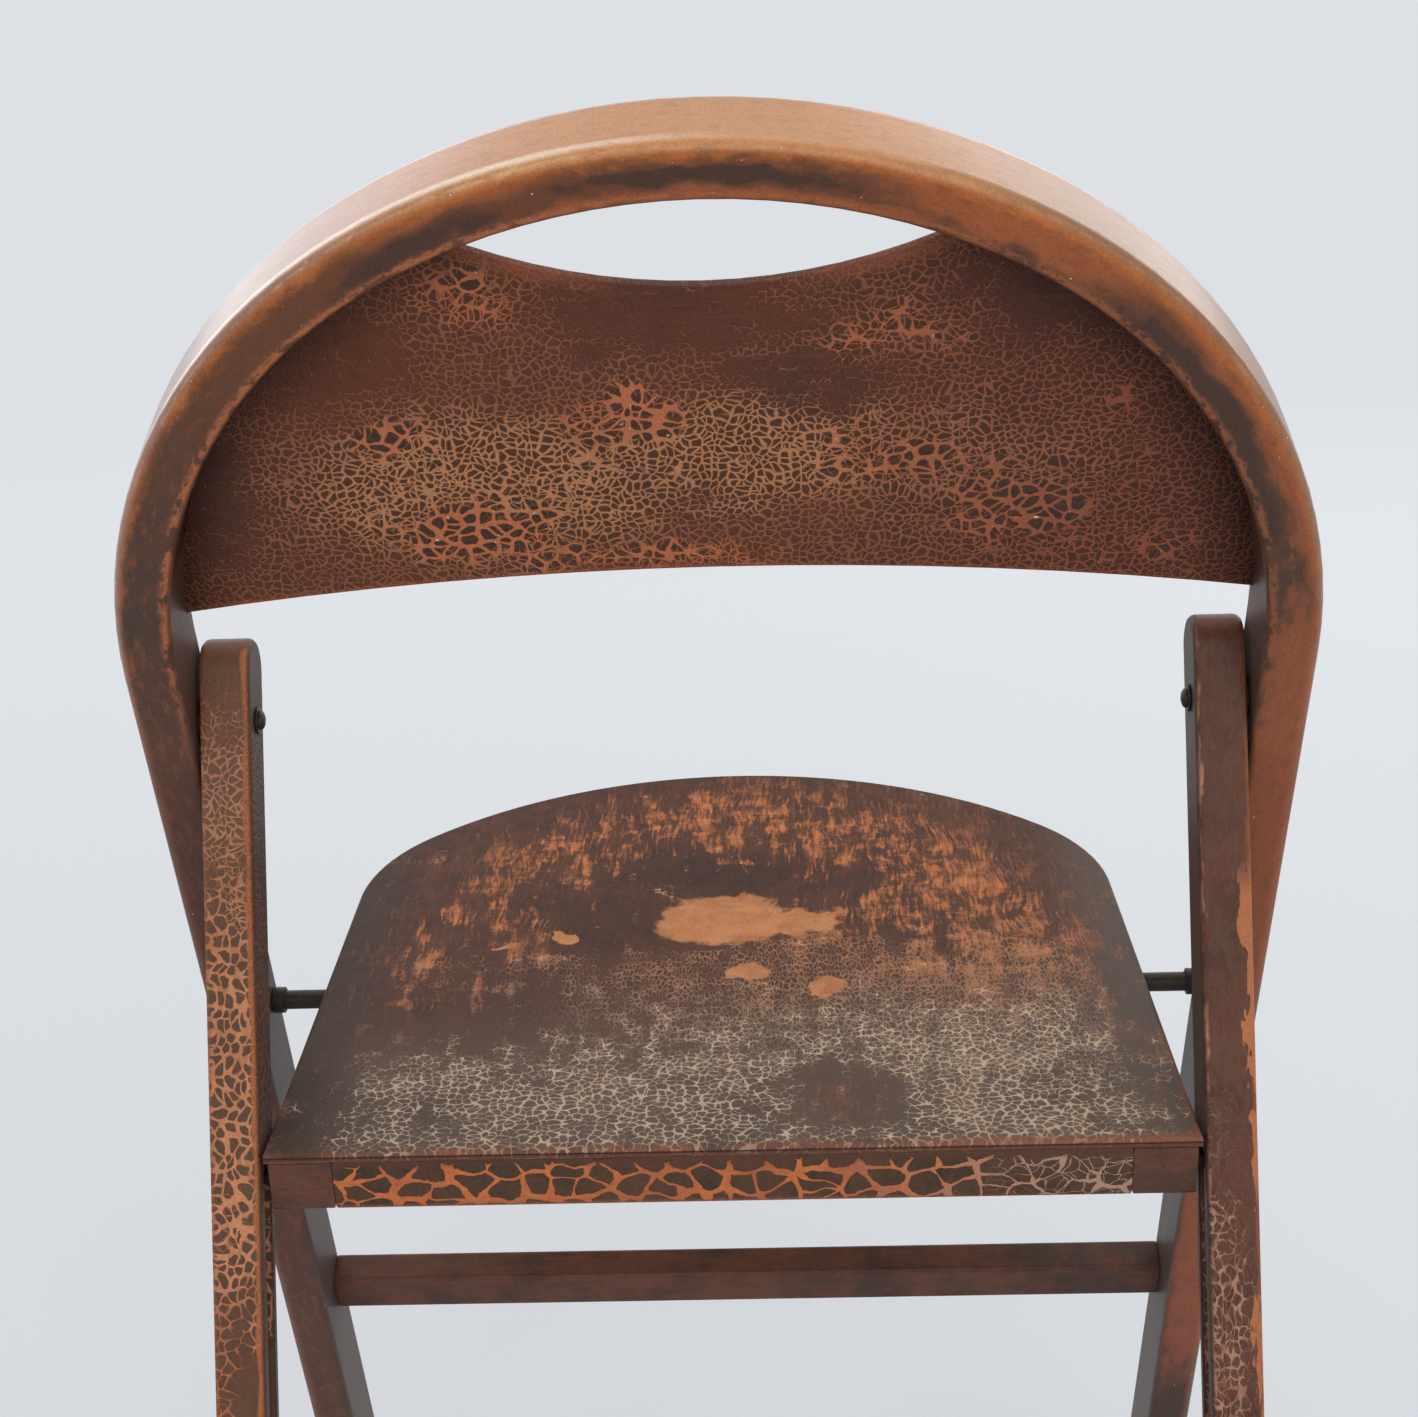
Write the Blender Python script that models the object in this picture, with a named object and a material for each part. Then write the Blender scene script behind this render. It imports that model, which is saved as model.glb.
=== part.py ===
"""Folding chair with a bent hoop frame, crossing rear legs and a hinged plywood seat.

Metres, Z up. The chair stands open on the floor, facing +Y, and +X is its side that
lies to the right when it is seen from behind. Pieces of the three moving bodies have
their origins on the axis that they turn about.
"""
import math

import bmesh
import bpy
from mathutils import Vector

# Stance: the pivot where the rear legs cross the hoop frame, and the three slopes
PIVOT_Y = 0.0061
PIVOT_Z = 0.5900
FRAME_LEAN = math.radians(17.3)
LEG_SLANT = math.radians(22.3)
SEAT_TILT = math.radians(1.5)

# Gap between wooden pieces that are fixed together, and running clearance round iron
JOINT_GAP = 0.0003
RUN_CLEAR = 0.0003

# Hoop frame: one bent bar that is the back's hoop and both front legs
HOOP_HALF = 0.2150
HOOP_TOP = 0.2365
HOOP_THICK = 0.0200
HOOP_DEPTH = 0.0360
CROWN_WIDER = 0.0150
CROWN_RADIUS = HOOP_HALF + CROWN_WIDER
CROWN_ANGLE = math.radians(30.0)
HOOP_OUTER_ROUND = 0.0050
HOOP_INNER_ROUND = 0.0028
SIDE_RADIUS = (HOOP_HALF - CROWN_RADIUS * math.sin(CROWN_ANGLE)) / (1.0 - math.sin(CROWN_ANGLE))
CROWN_CENTRE = (0.0, HOOP_TOP - CROWN_RADIUS)
SIDE_CENTRE = (
    (CROWN_RADIUS - SIDE_RADIUS) * math.sin(CROWN_ANGLE),
    CROWN_CENTRE[1] + (CROWN_RADIUS - SIDE_RADIUS) * math.cos(CROWN_ANGLE),
)

# Back panel, let into a groove near the hoop's front face
PANEL_THICK = 0.0050
PANEL_FORE = 0.0125
PANEL_GROOVE = 0.0050
PANEL_TOP = 0.1721
PANEL_TOP_RADIUS = 0.1990
PANEL_BOTTOM = 0.0580
PANEL_BOTTOM_RADIUS = 1.3100
PANEL_EDGE_ROUND = 0.0010

# Rear legs
LEG_GAP = 0.0014
LEG_WIDTH = 0.0192
LEG_DEPTH = 0.0240
LEG_ABOVE_PIVOT = 0.0310
LEG_ROUND = 0.0026
LEG_OUTER = HOOP_HALF - HOOP_THICK - LEG_GAP
LEG_INNER = LEG_OUTER - LEG_WIDTH

# Grooves down the rear legs' inner faces, that the seat's pins slide in
SLOT_WIDTH = 0.0120
SLOT_DEPTH = 0.0072
SLOT_TOP = 0.1640
SLOT_BOTTOM = 0.3950

# Stretchers, tenoned into the legs
STRETCHER_THICK = 0.0158
STRETCHER_TALL = 0.0215
STRETCHER_ROUND = 0.0022
FRONT_STRETCHER_DOWN = 0.3560
FRONT_STRETCHER_FORE = 0.0085
REAR_STRETCHER_DOWN = 0.4400
TENON_LENGTH = 0.0110
TENON_SHOULDER = 0.0030

# Seat: rear edge of its top face from the pivot, and its plan
SEAT_REAR_Y = -0.0745
SEAT_REAR_Z = -0.1425
SEAT_DEPTH = 0.3173
SEAT_SIDE_GAP = 0.0014
SEAT_HALF_REAR = LEG_INNER - SEAT_SIDE_GAP
SEAT_TAPER = 0.0050
SEAT_HALF_FRONT = SEAT_HALF_REAR - SEAT_TAPER
SEAT_SIDE_LENGTH = 0.2000
SEAT_FRONT_WIDER = 0.0320
SEAT_FRONT_RADIUS = SEAT_HALF_FRONT + SEAT_FRONT_WIDER
SEAT_FRONT_ANGLE = math.radians(46.0)
SEAT_THICK = 0.0045
SEAT_EDGE_ROUND = 0.0018
RAIL_OVERHANG = 0.0012
RAIL_WIDTH = 0.0235
RAIL_TALL = 0.0215
RAIL_ROUND = 0.0015
REAR_RAIL_WIDTH = 0.0200

# Pivot rod under the seat
ROD_DOWN = 0.1604
ROD_FORE = 0.0080
ROD_RADIUS = 0.0040
ROD_HEAD_RADIUS = 0.0065
ROD_HEAD_TALL = 0.0022
ROD_WASHER_RADIUS = 0.0055
ROD_WASHER_THICK = 0.0050

# Rivets at the crossing, their washers, and the seat's slide pins
RIVET_RADIUS = 0.0028
RIVET_HEAD_RADIUS = 0.0055
RIVET_HEAD_TALL = 0.0020
RIVET_TAIL_RADIUS = 0.0038
RIVET_TAIL_TALL = 0.0018
RIVET_WASHER_RADIUS = 0.0052
RIVET_WASHER_THICK = 0.0008
SPACER_RADIUS = 0.0085
PIN_RADIUS = 0.0030
PIN_DOWN = 0.1720
PIN_FORE = 0.0025
PIN_REACH = 0.0060
PIN_SEATED = 0.0160

ROUND_SIDES = 28
FLOOR_BELOW = 0.05

PAINT = (0.085, 0.040, 0.028, 1.0)
PAINT_WORN = (0.200, 0.072, 0.030, 1.0)
IRON = (0.030, 0.029, 0.028, 1.0)


def frame_point(x, up, fore):
    """Point by its height up the leaning frame from the pivot and its distance in front of it."""
    y = PIVOT_Y - up * math.sin(FRAME_LEAN) + fore * math.cos(FRAME_LEAN)
    z = PIVOT_Z + up * math.cos(FRAME_LEAN) + fore * math.sin(FRAME_LEAN)
    return Vector((x, y, z))


def leg_point(x, down, fore):
    """Point by its distance down the rear leg from the pivot and its distance in front of it."""
    y = PIVOT_Y - down * math.sin(LEG_SLANT) + fore * math.cos(LEG_SLANT)
    z = PIVOT_Z - down * math.cos(LEG_SLANT) - fore * math.sin(LEG_SLANT)
    return Vector((x, y, z))


def seat_point(x, ahead, up):
    """Point by its distance ahead of the seat's rear edge and its height over the seat's top."""
    y = PIVOT_Y + SEAT_REAR_Y + ahead * math.cos(SEAT_TILT) - up * math.sin(SEAT_TILT)
    z = PIVOT_Z + SEAT_REAR_Z + ahead * math.sin(SEAT_TILT) + up * math.cos(SEAT_TILT)
    return Vector((x, y, z))


LEG_AXIS = leg_point(0.0, 0.0, 0.0)
SEAT_AXIS = frame_point(0.0, -ROD_DOWN, ROD_FORE)
PIN_AXIS = leg_point(0.0, PIN_DOWN, PIN_FORE)
FRAME_ORIGIN = Vector((0.0, 0.0, 0.0))


def arc(centre, radius, start, end, steps):
    """Points on an arc, by angle from straight up towards +x, both ends included."""
    points = []
    for i in range(steps + 1):
        angle = start + (end - start) * i / steps
        points.append((centre[0] + radius * math.sin(angle), centre[1] + radius * math.cos(angle)))
    return points


def circles_meet(centre_a, radius_a, centre_b, radius_b):
    """The crossing of two circles that has the larger x."""
    gap = math.hypot(centre_b[0] - centre_a[0], centre_b[1] - centre_a[1])
    along = (gap ** 2 + radius_a ** 2 - radius_b ** 2) / (2.0 * gap)
    across = math.sqrt(radius_a ** 2 - along ** 2)
    ux = (centre_b[0] - centre_a[0]) / gap
    uy = (centre_b[1] - centre_a[1]) / gap
    middle = (centre_a[0] + along * ux, centre_a[1] + along * uy)
    first = (middle[0] - across * uy, middle[1] + across * ux)
    second = (middle[0] + across * uy, middle[1] - across * ux)
    return first if first[0] > second[0] else second


def angle_from_up(centre, point):
    """Angle of a point about a centre, from straight up towards +x."""
    return math.atan2(point[0] - centre[0], point[1] - centre[1])


def make_material(name, color, roughness, metallic):
    """Plain Principled material."""
    material = bpy.data.materials.new(name)
    material.use_nodes = True
    shader = material.node_tree.nodes["Principled BSDF"]
    shader.inputs["Base Color"].default_value = color
    shader.inputs["Roughness"].default_value = roughness
    shader.inputs["Metallic"].default_value = metallic
    material.diffuse_color = color
    return material


def make_object(name, bm, origin, color, metallic=0.0, roughness=0.5):
    """Turn a mesh drawn in place into an object whose origin is on its body's axis."""
    bmesh.ops.recalc_face_normals(bm, faces=bm.faces[:])
    bmesh.ops.translate(bm, verts=bm.verts[:], vec=-origin)
    mesh = bpy.data.meshes.new(name)
    bm.to_mesh(mesh)
    bm.free()
    obj = bpy.data.objects.new(name, mesh)
    obj.location = origin
    bpy.context.scene.collection.objects.link(obj)
    mesh.materials.append(make_material(name, color, roughness, metallic))
    shade(mesh)
    return obj


def shade(mesh):
    """Smooth shading with the arrises kept sharp."""
    for polygon in mesh.polygons:
        polygon.use_smooth = True
    mesh.set_sharp_from_angle(angle=math.radians(32.0))


def cut(obj, cutters):
    """Take the cutters' volume out of an object, and remove them."""
    bpy.context.view_layer.update()
    for cutter in cutters:
        cutter.hide_render = True
        cutter.display_type = "WIRE"
        modifier = obj.modifiers.new("cut", "BOOLEAN")
        modifier.operation = "DIFFERENCE"
        modifier.solver = "EXACT"
        modifier.object = cutter
    graph = bpy.context.evaluated_depsgraph_get()
    result = bpy.data.meshes.new_from_object(obj.evaluated_get(graph))
    obj.modifiers.clear()
    old = obj.data
    result.name = old.name
    result.materials.clear()
    result.materials.append(old.materials[0])
    obj.data = result
    bpy.data.meshes.remove(old)
    weld(obj.data)
    shade(obj.data)
    for cutter in cutters:
        bpy.data.objects.remove(cutter)


def weld(mesh):
    """Merge the doubled corners that a cut leaves."""
    bm = bmesh.new()
    bm.from_mesh(mesh)
    bmesh.ops.remove_doubles(bm, verts=bm.verts[:], dist=0.000005)
    bmesh.ops.dissolve_degenerate(bm, dist=0.000005, edges=bm.edges[:])
    bm.to_mesh(mesh)
    bm.free()


def prism(outline, place, low, high):
    """Flat outline pulled along a third direction. Returns the mesh and its two end faces."""
    bm = bmesh.new()
    first = [bm.verts.new(place(a, b, low)) for a, b in outline]
    second = [bm.verts.new(place(a, b, high)) for a, b in outline]
    ends = (bm.faces.new(first), bm.faces.new(list(reversed(second))))
    count = len(outline)
    for i in range(count):
        j = (i + 1) % count
        bm.faces.new((first[j], first[i], second[i], second[j]))
    bmesh.ops.recalc_face_normals(bm, faces=bm.faces[:])
    return bm, ends


def soften(bm, edges, width, segments=3):
    """Round some edges."""
    bmesh.ops.bevel(
        bm, geom=list(edges), offset=width, segments=segments, profile=0.5,
        affect="EDGES", clamp_overlap=True, material=-1,
    )


def cut_at_floor(bm):
    """Saw everything off level with the floor."""
    geometry = bm.verts[:] + bm.edges[:] + bm.faces[:]
    bmesh.ops.bisect_plane(bm, geom=geometry, plane_co=(0, 0, 0), plane_no=(0, 0, 1), clear_inner=True)
    open_edges = [edge for edge in bm.edges if len(edge.link_faces) == 1]
    bmesh.ops.holes_fill(bm, edges=open_edges, sides=0)


def turned(profile, axis_point):
    """Solid of revolution about X from (x, radius) points that start and end on the axis."""
    bm = bmesh.new()
    rings = []
    for x, radius in profile:
        if radius == 0.0:
            rings.append([bm.verts.new(axis_point + Vector((x, 0.0, 0.0)))])
            continue
        ring = []
        for i in range(ROUND_SIDES):
            angle = 2.0 * math.pi * i / ROUND_SIDES
            offset = Vector((x, radius * math.cos(angle), radius * math.sin(angle)))
            ring.append(bm.verts.new(axis_point + offset))
        rings.append(ring)
    for near, far in zip(rings, rings[1:]):
        for i in range(ROUND_SIDES):
            j = (i + 1) % ROUND_SIDES
            if len(near) == 1:
                bm.faces.new((near[0], far[i], far[j]))
            elif len(far) == 1:
                bm.faces.new((near[i], far[0], near[j]))
            else:
                bm.faces.new((near[i], far[i], far[j], near[j]))
    bmesh.ops.recalc_face_normals(bm, faces=bm.faces[:])
    return bm


def on_side(bm, side):
    """Mesh drawn on the right, mirrored to the left when asked."""
    if side < 0.0:
        bmesh.ops.scale(bm, vec=(-1.0, 1.0, 1.0), verts=bm.verts[:])
        bmesh.ops.reverse_faces(bm, faces=bm.faces[:])
    return bm


def dome(base, radius, tall, direction, steps=4):
    """Profile of a domed head that stands on a plane square to X."""
    points = []
    for i in range(steps + 1):
        angle = 0.5 * math.pi * i / steps
        reach = 0.0 if i == steps else radius * math.cos(angle)
        points.append((base + direction * tall * math.sin(angle), reach))
    return points


def rod_cutter(name, axis_point, low, high, radius):
    """Round cutter along X."""
    bm = turned([(low, 0.0), (low, radius), (high, radius), (high, 0.0)], axis_point)
    return make_object(name, bm, FRAME_ORIGIN, IRON)


def hoop_stations():
    """Arc centre, outer radius and outward direction at each station, from right foot to left."""
    foot = -PIVOT_Z / math.cos(FRAME_LEAN) - FLOOR_BELOW
    flip = (-SIDE_CENTRE[0], SIDE_CENTRE[1])
    stations = [((HOOP_HALF, foot), 0.0, math.pi / 2.0)]
    stations += [(SIDE_CENTRE, SIDE_RADIUS, a) for a in spread(math.pi / 2.0, CROWN_ANGLE, 18)]
    stations += [(CROWN_CENTRE, CROWN_RADIUS, a) for a in spread(CROWN_ANGLE, -CROWN_ANGLE, 20)[1:-1]]
    stations += [(flip, SIDE_RADIUS, a) for a in spread(-CROWN_ANGLE, -math.pi / 2.0, 18)]
    stations.append(((-HOOP_HALF, foot), 0.0, -math.pi / 2.0))
    return stations


def spread(start, end, steps):
    """Evenly spaced values, both ends included."""
    return [start + (end - start) * i / steps for i in range(steps + 1)]


def hoop_section():
    """Rounded section of the bar as (inward, fore) points."""
    half = HOOP_DEPTH / 2.0
    outer, inner = HOOP_OUTER_ROUND, HOOP_INNER_ROUND
    points = arc((half - outer, -outer), outer, 0.0, math.pi / 2.0, 4)
    points += arc((half - inner, inner - HOOP_THICK), inner, math.pi / 2.0, math.pi, 3)
    points += arc((inner - half, inner - HOOP_THICK), inner, math.pi, 1.5 * math.pi, 3)
    points += arc((outer - half, -outer), outer, 1.5 * math.pi, 2.0 * math.pi, 4)
    return [(-outward, fore) for fore, outward in points]


def make_hoop_frame():
    """Bent bar with its panel groove, rivet and rod bores, and stretcher mortises."""
    bm = bmesh.new()
    rings = []
    for centre, radius, angle in hoop_stations():
        ring = []
        for inward, fore in hoop_section():
            x = centre[0] + (radius - inward) * math.sin(angle)
            up = centre[1] + (radius - inward) * math.cos(angle)
            ring.append(bm.verts.new(frame_point(x, up, fore)))
        rings.append(ring)
    for near, far in zip(rings, rings[1:]):
        for i in range(len(near)):
            j = (i + 1) % len(near)
            bm.faces.new((near[i], near[j], far[j], far[i]))
    bm.faces.new(rings[0])
    bm.faces.new(rings[-1])
    bmesh.ops.recalc_face_normals(bm, faces=bm.faces[:])
    cut_at_floor(bm)
    hoop = make_object("hoop_frame", bm, FRAME_ORIGIN, PAINT_WORN, roughness=0.35)
    reach = HOOP_HALF + 0.01
    cut(hoop, [
        make_panel_solid("panel_cutter", JOINT_GAP),
        rod_cutter("rivet_cutter", LEG_AXIS, -reach, reach, RIVET_RADIUS + RUN_CLEAR),
        rod_cutter("rod_cutter", SEAT_AXIS, -reach, reach, ROD_RADIUS + RUN_CLEAR),
        make_object("tenon_cutter", front_stretcher_core(JOINT_GAP), FRAME_ORIGIN, PAINT),
    ])
    return hoop


def panel_outline(grow):
    """Back panel in the plane of the frame: dipped top, sides that follow the hoop, arched bottom."""
    let_in = PANEL_GROOVE - JOINT_GAP + grow - HOOP_THICK
    crown = CROWN_RADIUS + let_in
    side = SIDE_RADIUS + let_in
    top_radius = PANEL_TOP_RADIUS - grow
    top_centre = (0.0, PANEL_TOP + PANEL_TOP_RADIUS)
    bottom_radius = PANEL_BOTTOM_RADIUS - grow
    bottom_centre = (0.0, PANEL_BOTTOM - PANEL_BOTTOM_RADIUS)
    horn = circles_meet(top_centre, top_radius, CROWN_CENTRE, crown)
    foot = circles_meet(bottom_centre, bottom_radius, SIDE_CENTRE, side)
    dip = angle_from_up(top_centre, horn)
    right = arc(top_centre, top_radius, math.pi, dip, 9)[1:]
    right += arc(CROWN_CENTRE, crown, angle_from_up(CROWN_CENTRE, horn), CROWN_ANGLE, 2)[1:]
    right += arc(SIDE_CENTRE, side, CROWN_ANGLE, angle_from_up(SIDE_CENTRE, foot), 18)[1:]
    right += arc(bottom_centre, bottom_radius, angle_from_up(bottom_centre, foot), 0.0, 8)[1:-1]
    left = [(-x, up) for x, up in reversed(right)]
    low = (0.0, PANEL_TOP + grow)
    return [low] + right + [(0.0, PANEL_BOTTOM - grow)] + left


def make_panel_solid(name, grow):
    """Back panel, or the larger solid that cuts its groove."""
    half = PANEL_THICK / 2.0 + grow
    bm, ends = prism(panel_outline(grow), frame_point, PANEL_FORE - half, PANEL_FORE + half)
    if grow == 0.0:
        soften(bm, {edge for face in ends for edge in face.edges}, PANEL_EDGE_ROUND, 2)
    return make_object(name, bm, FRAME_ORIGIN, PAINT)


def stretcher_core(place, half_length, middle, fore, grow):
    """Rectangular bar with stub tenons, as one solid along X."""
    tall = STRETCHER_TALL / 2.0
    thick = STRETCHER_THICK / 2.0
    bar = [(middle - tall, fore - thick), (middle + tall, fore - thick),
           (middle + tall, fore + thick), (middle - tall, fore + thick)]
    shrink = TENON_SHOULDER - grow
    tenon = [(middle - tall + shrink, fore - thick + shrink), (middle + tall - shrink, fore - thick + shrink),
             (middle + tall - shrink, fore + thick - shrink), (middle - tall + shrink, fore + thick - shrink)]
    shoulder = half_length - JOINT_GAP
    tip = half_length + TENON_LENGTH - (0.0 if grow else JOINT_GAP)
    stops = [(-tip, tenon), (-shoulder, tenon), (-shoulder, bar), (shoulder, bar), (shoulder, tenon), (tip, tenon)]
    bm = bmesh.new()
    rings = [[bm.verts.new(place(x, a, b)) for a, b in outline] for x, outline in stops]
    for near, far in zip(rings, rings[1:]):
        for i in range(4):
            j = (i + 1) % 4
            bm.faces.new((near[i], near[j], far[j], far[i]))
    bm.faces.new(rings[0])
    bm.faces.new(rings[-1])
    bmesh.ops.recalc_face_normals(bm, faces=bm.faces[:])
    if not grow:
        long_edges = []
        for i in range(4):
            long_edges.append(bm.edges.get((rings[2][i], rings[3][i])))
        soften(bm, long_edges, STRETCHER_ROUND, 3)
    return bm


def front_stretcher_core(grow):
    """Front stretcher, or its mortise cutter."""
    half = HOOP_HALF - HOOP_THICK
    return stretcher_core(frame_point, half, -FRONT_STRETCHER_DOWN, FRONT_STRETCHER_FORE, grow)


def rear_stretcher_core(grow):
    """Rear stretcher, or its mortise cutter."""
    return stretcher_core(leg_point, LEG_INNER, REAR_STRETCHER_DOWN, 0.0, grow)


def leg_outline():
    """Rear leg seen from the side, with a half-round top."""
    half = LEG_DEPTH / 2.0
    bottom = PIVOT_Z / math.cos(LEG_SLANT) + FLOOR_BELOW
    centre = half - LEG_ABOVE_PIVOT
    round_top = [(centre - half * math.cos(a), half * math.sin(a)) for a in spread(math.pi / 2.0, -math.pi / 2.0, 16)]
    return [(bottom, half)] + round_top + [(bottom, -half)]


def slot_outline():
    """Round-ended groove in the side view of a rear leg."""
    half = SLOT_WIDTH / 2.0
    top = [(SLOT_TOP + half - half * math.cos(a), half * math.sin(a)) for a in spread(math.pi / 2, -math.pi / 2, 12)]
    low = [(SLOT_BOTTOM - half + half * math.cos(a), -half * math.sin(a)) for a in spread(math.pi / 2, -math.pi / 2, 12)]
    return top + low


def place_in_leg(down, fore, x):
    """Argument order that a side outline pulled along X needs."""
    return leg_point(x, down, fore)


def make_rear_leg(name, side):
    """One rear leg with its rivet bore, slide groove and stretcher mortise."""
    low, high = sorted((side * LEG_INNER, side * LEG_OUTER))
    bm, ends = prism(leg_outline(), place_in_leg, low, high)
    soften(bm, {edge for face in ends for edge in face.edges}, LEG_ROUND, 3)
    cut_at_floor(bm)
    leg = make_object(name, bm, LEG_AXIS, PAINT)
    mouth, floor = side * (LEG_INNER - 0.004), side * (LEG_INNER + SLOT_DEPTH)
    slot, _ = prism(slot_outline(), place_in_leg, min(mouth, floor), max(mouth, floor))
    cut(leg, [
        rod_cutter("bore_cutter", LEG_AXIS, low - 0.01, high + 0.01, RIVET_RADIUS + RUN_CLEAR),
        make_object("slot_cutter", slot, FRAME_ORIGIN, PAINT),
        make_object("mortise_cutter", rear_stretcher_core(JOINT_GAP), FRAME_ORIGIN, PAINT),
    ])
    return leg


def seat_edge(inset):
    """Right side of the seat's plan from its rear corner to the middle of its front."""
    radius = SEAT_FRONT_RADIUS - inset
    centre = (0.0, SEAT_DEPTH - SEAT_FRONT_RADIUS)
    bend = SEAT_FRONT_ANGLE
    start = SEAT_FRONT_RADIUS * math.sin(bend)
    corner = (SEAT_HALF_FRONT - start) / (1.0 - math.sin(bend))
    corner_centre = (
        (SEAT_FRONT_RADIUS - corner) * math.sin(bend),
        centre[1] + (SEAT_FRONT_RADIUS - corner) * math.cos(bend),
    )
    points = arc(corner_centre, corner - inset, math.pi / 2.0, bend, 10)
    points += arc(centre, radius, bend, 0.0, 16)[1:]
    return points, corner_centre[1]


def rear_corner(inset):
    """Seat's rear corner with its side moved in."""
    return (SEAT_HALF_REAR - inset, 0.0)


def make_seat_panel():
    """Thin plywood seat with a soft top edge."""
    edge, _ = seat_edge(0.0)
    right = [rear_corner(0.0)] + edge
    outline = right + [(-x, ahead) for x, ahead in reversed(right[:-1])]
    bm, ends = prism(outline, seat_point, -SEAT_THICK, 0.0)
    top = max(ends, key=lambda face: face.calc_center_median().z)
    soften(bm, top.edges[:], SEAT_EDGE_ROUND, 3)
    return make_object("seat_panel", bm, SEAT_AXIS, PAINT)


def make_side_rail(name, side):
    """Straight rail under one side of the seat, bored for the pivot rod and the slide pin."""
    edge, meet = seat_edge(RAIL_OVERHANG)
    front = meet - JOINT_GAP
    outer_front = edge[0][0]
    outer_rear = SEAT_HALF_REAR - RAIL_OVERHANG
    outline = [(side * outer_rear, RAIL_OVERHANG), (side * outer_front, front),
               (side * (outer_front - RAIL_WIDTH), front), (side * (outer_rear - RAIL_WIDTH), RAIL_OVERHANG)]
    top = -SEAT_THICK - JOINT_GAP
    bm, ends = prism(outline, seat_point, top - RAIL_TALL, top)
    soften(bm, {edge for face in ends for edge in face.edges}, RAIL_ROUND, 2)
    rail = make_object(name, bm, SEAT_AXIS, PAINT)
    blind = side * (SEAT_HALF_REAR - RAIL_OVERHANG - PIN_SEATED - JOINT_GAP)
    mouth = side * (SEAT_HALF_REAR + 0.01)
    cut(rail, [
        rod_cutter("bore_cutter", SEAT_AXIS, -HOOP_HALF, HOOP_HALF, ROD_RADIUS + RUN_CLEAR),
        rod_cutter("pin_cutter", PIN_AXIS, min(blind, mouth), max(blind, mouth), PIN_RADIUS + JOINT_GAP),
    ])
    return rail


def make_rear_rail():
    """Rail across the rear, between the two side rails."""
    half = SEAT_HALF_REAR - RAIL_OVERHANG - RAIL_WIDTH - JOINT_GAP
    taper = (SEAT_HALF_REAR - SEAT_HALF_FRONT) / SEAT_SIDE_LENGTH * REAR_RAIL_WIDTH
    rear = RAIL_OVERHANG
    front = RAIL_OVERHANG + REAR_RAIL_WIDTH
    outline = [(half, rear), (half - taper, front), (taper - half, front), (-half, rear)]
    top = -SEAT_THICK - JOINT_GAP
    bm, ends = prism(outline, seat_point, top - RAIL_TALL, top)
    soften(bm, {edge for face in ends for edge in face.edges}, RAIL_ROUND, 2)
    return make_object("seat_rear_rail", bm, SEAT_AXIS, PAINT)


def make_front_rail():
    """Bent rail under the seat's curved front."""
    outer, _ = seat_edge(RAIL_OVERHANG)
    inner, _ = seat_edge(RAIL_OVERHANG + RAIL_WIDTH)
    outline = outer + [(-x, ahead) for x, ahead in reversed(outer[:-1])]
    outline += [(-x, ahead) for x, ahead in inner] + [(x, ahead) for x, ahead in reversed(inner[:-1])]
    top = -SEAT_THICK - JOINT_GAP
    bm, ends = prism(outline, seat_point, top - RAIL_TALL, top)
    soften(bm, {edge for face in ends for edge in face.edges}, RAIL_ROUND, 2)
    return make_object("seat_front_rail", bm, SEAT_AXIS, PAINT)


def make_slide_pin(name, side):
    """Pin from the seat's side into a rear leg's groove."""
    inner = SEAT_HALF_REAR - RAIL_OVERHANG - PIN_SEATED
    outer = LEG_INNER + PIN_REACH
    chamfer = 0.0006
    profile = [(inner, 0.0), (inner, PIN_RADIUS), (outer - chamfer, PIN_RADIUS), (outer, PIN_RADIUS - chamfer), (outer, 0.0)]
    return make_object(name, on_side(turned(profile, PIN_AXIS), side), SEAT_AXIS, IRON, 0.8, 0.45)


def make_pivot_rod():
    """Rod across the frame that the seat turns on, headed over outside both legs."""
    face = HOOP_HALF + JOINT_GAP
    right = [(face, ROD_RADIUS)] + dome(face, ROD_HEAD_RADIUS, ROD_HEAD_TALL, 1.0)
    left = [(-x, radius) for x, radius in reversed(right)]
    bm = turned(left + right, SEAT_AXIS)
    return make_object("pivot_rod", bm, FRAME_ORIGIN, IRON, 0.8, 0.45)


def ring(low, high, outer, inner, axis_point):
    """Flat washer about X."""
    bm = bmesh.new()
    edge = min(0.0003, (high - low) * 0.25)
    profile = [(low, inner), (low, outer - edge), (low + edge, outer), (high - edge, outer),
               (high, outer - edge), (high, inner)]
    loops = []
    for x, radius in profile:
        loop = []
        for i in range(ROUND_SIDES):
            angle = 2.0 * math.pi * i / ROUND_SIDES
            offset = Vector((x, radius * math.cos(angle), radius * math.sin(angle)))
            loop.append(bm.verts.new(axis_point + offset))
        loops.append(loop)
    for near, far in zip(loops, loops[1:] + loops[:1]):
        for i in range(ROUND_SIDES):
            j = (i + 1) % ROUND_SIDES
            bm.faces.new((near[i], far[i], far[j], near[j]))
    bmesh.ops.recalc_face_normals(bm, faces=bm.faces[:])
    return bm


def make_rod_washer(name, side):
    """Washer on the rod against the frame's inner face."""
    high = HOOP_HALF - HOOP_THICK - JOINT_GAP
    bm = ring(high - ROD_WASHER_THICK, high, ROD_WASHER_RADIUS, ROD_RADIUS + JOINT_GAP, SEAT_AXIS)
    return make_object(name, on_side(bm, side), FRAME_ORIGIN, IRON, 0.8, 0.5)


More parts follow.
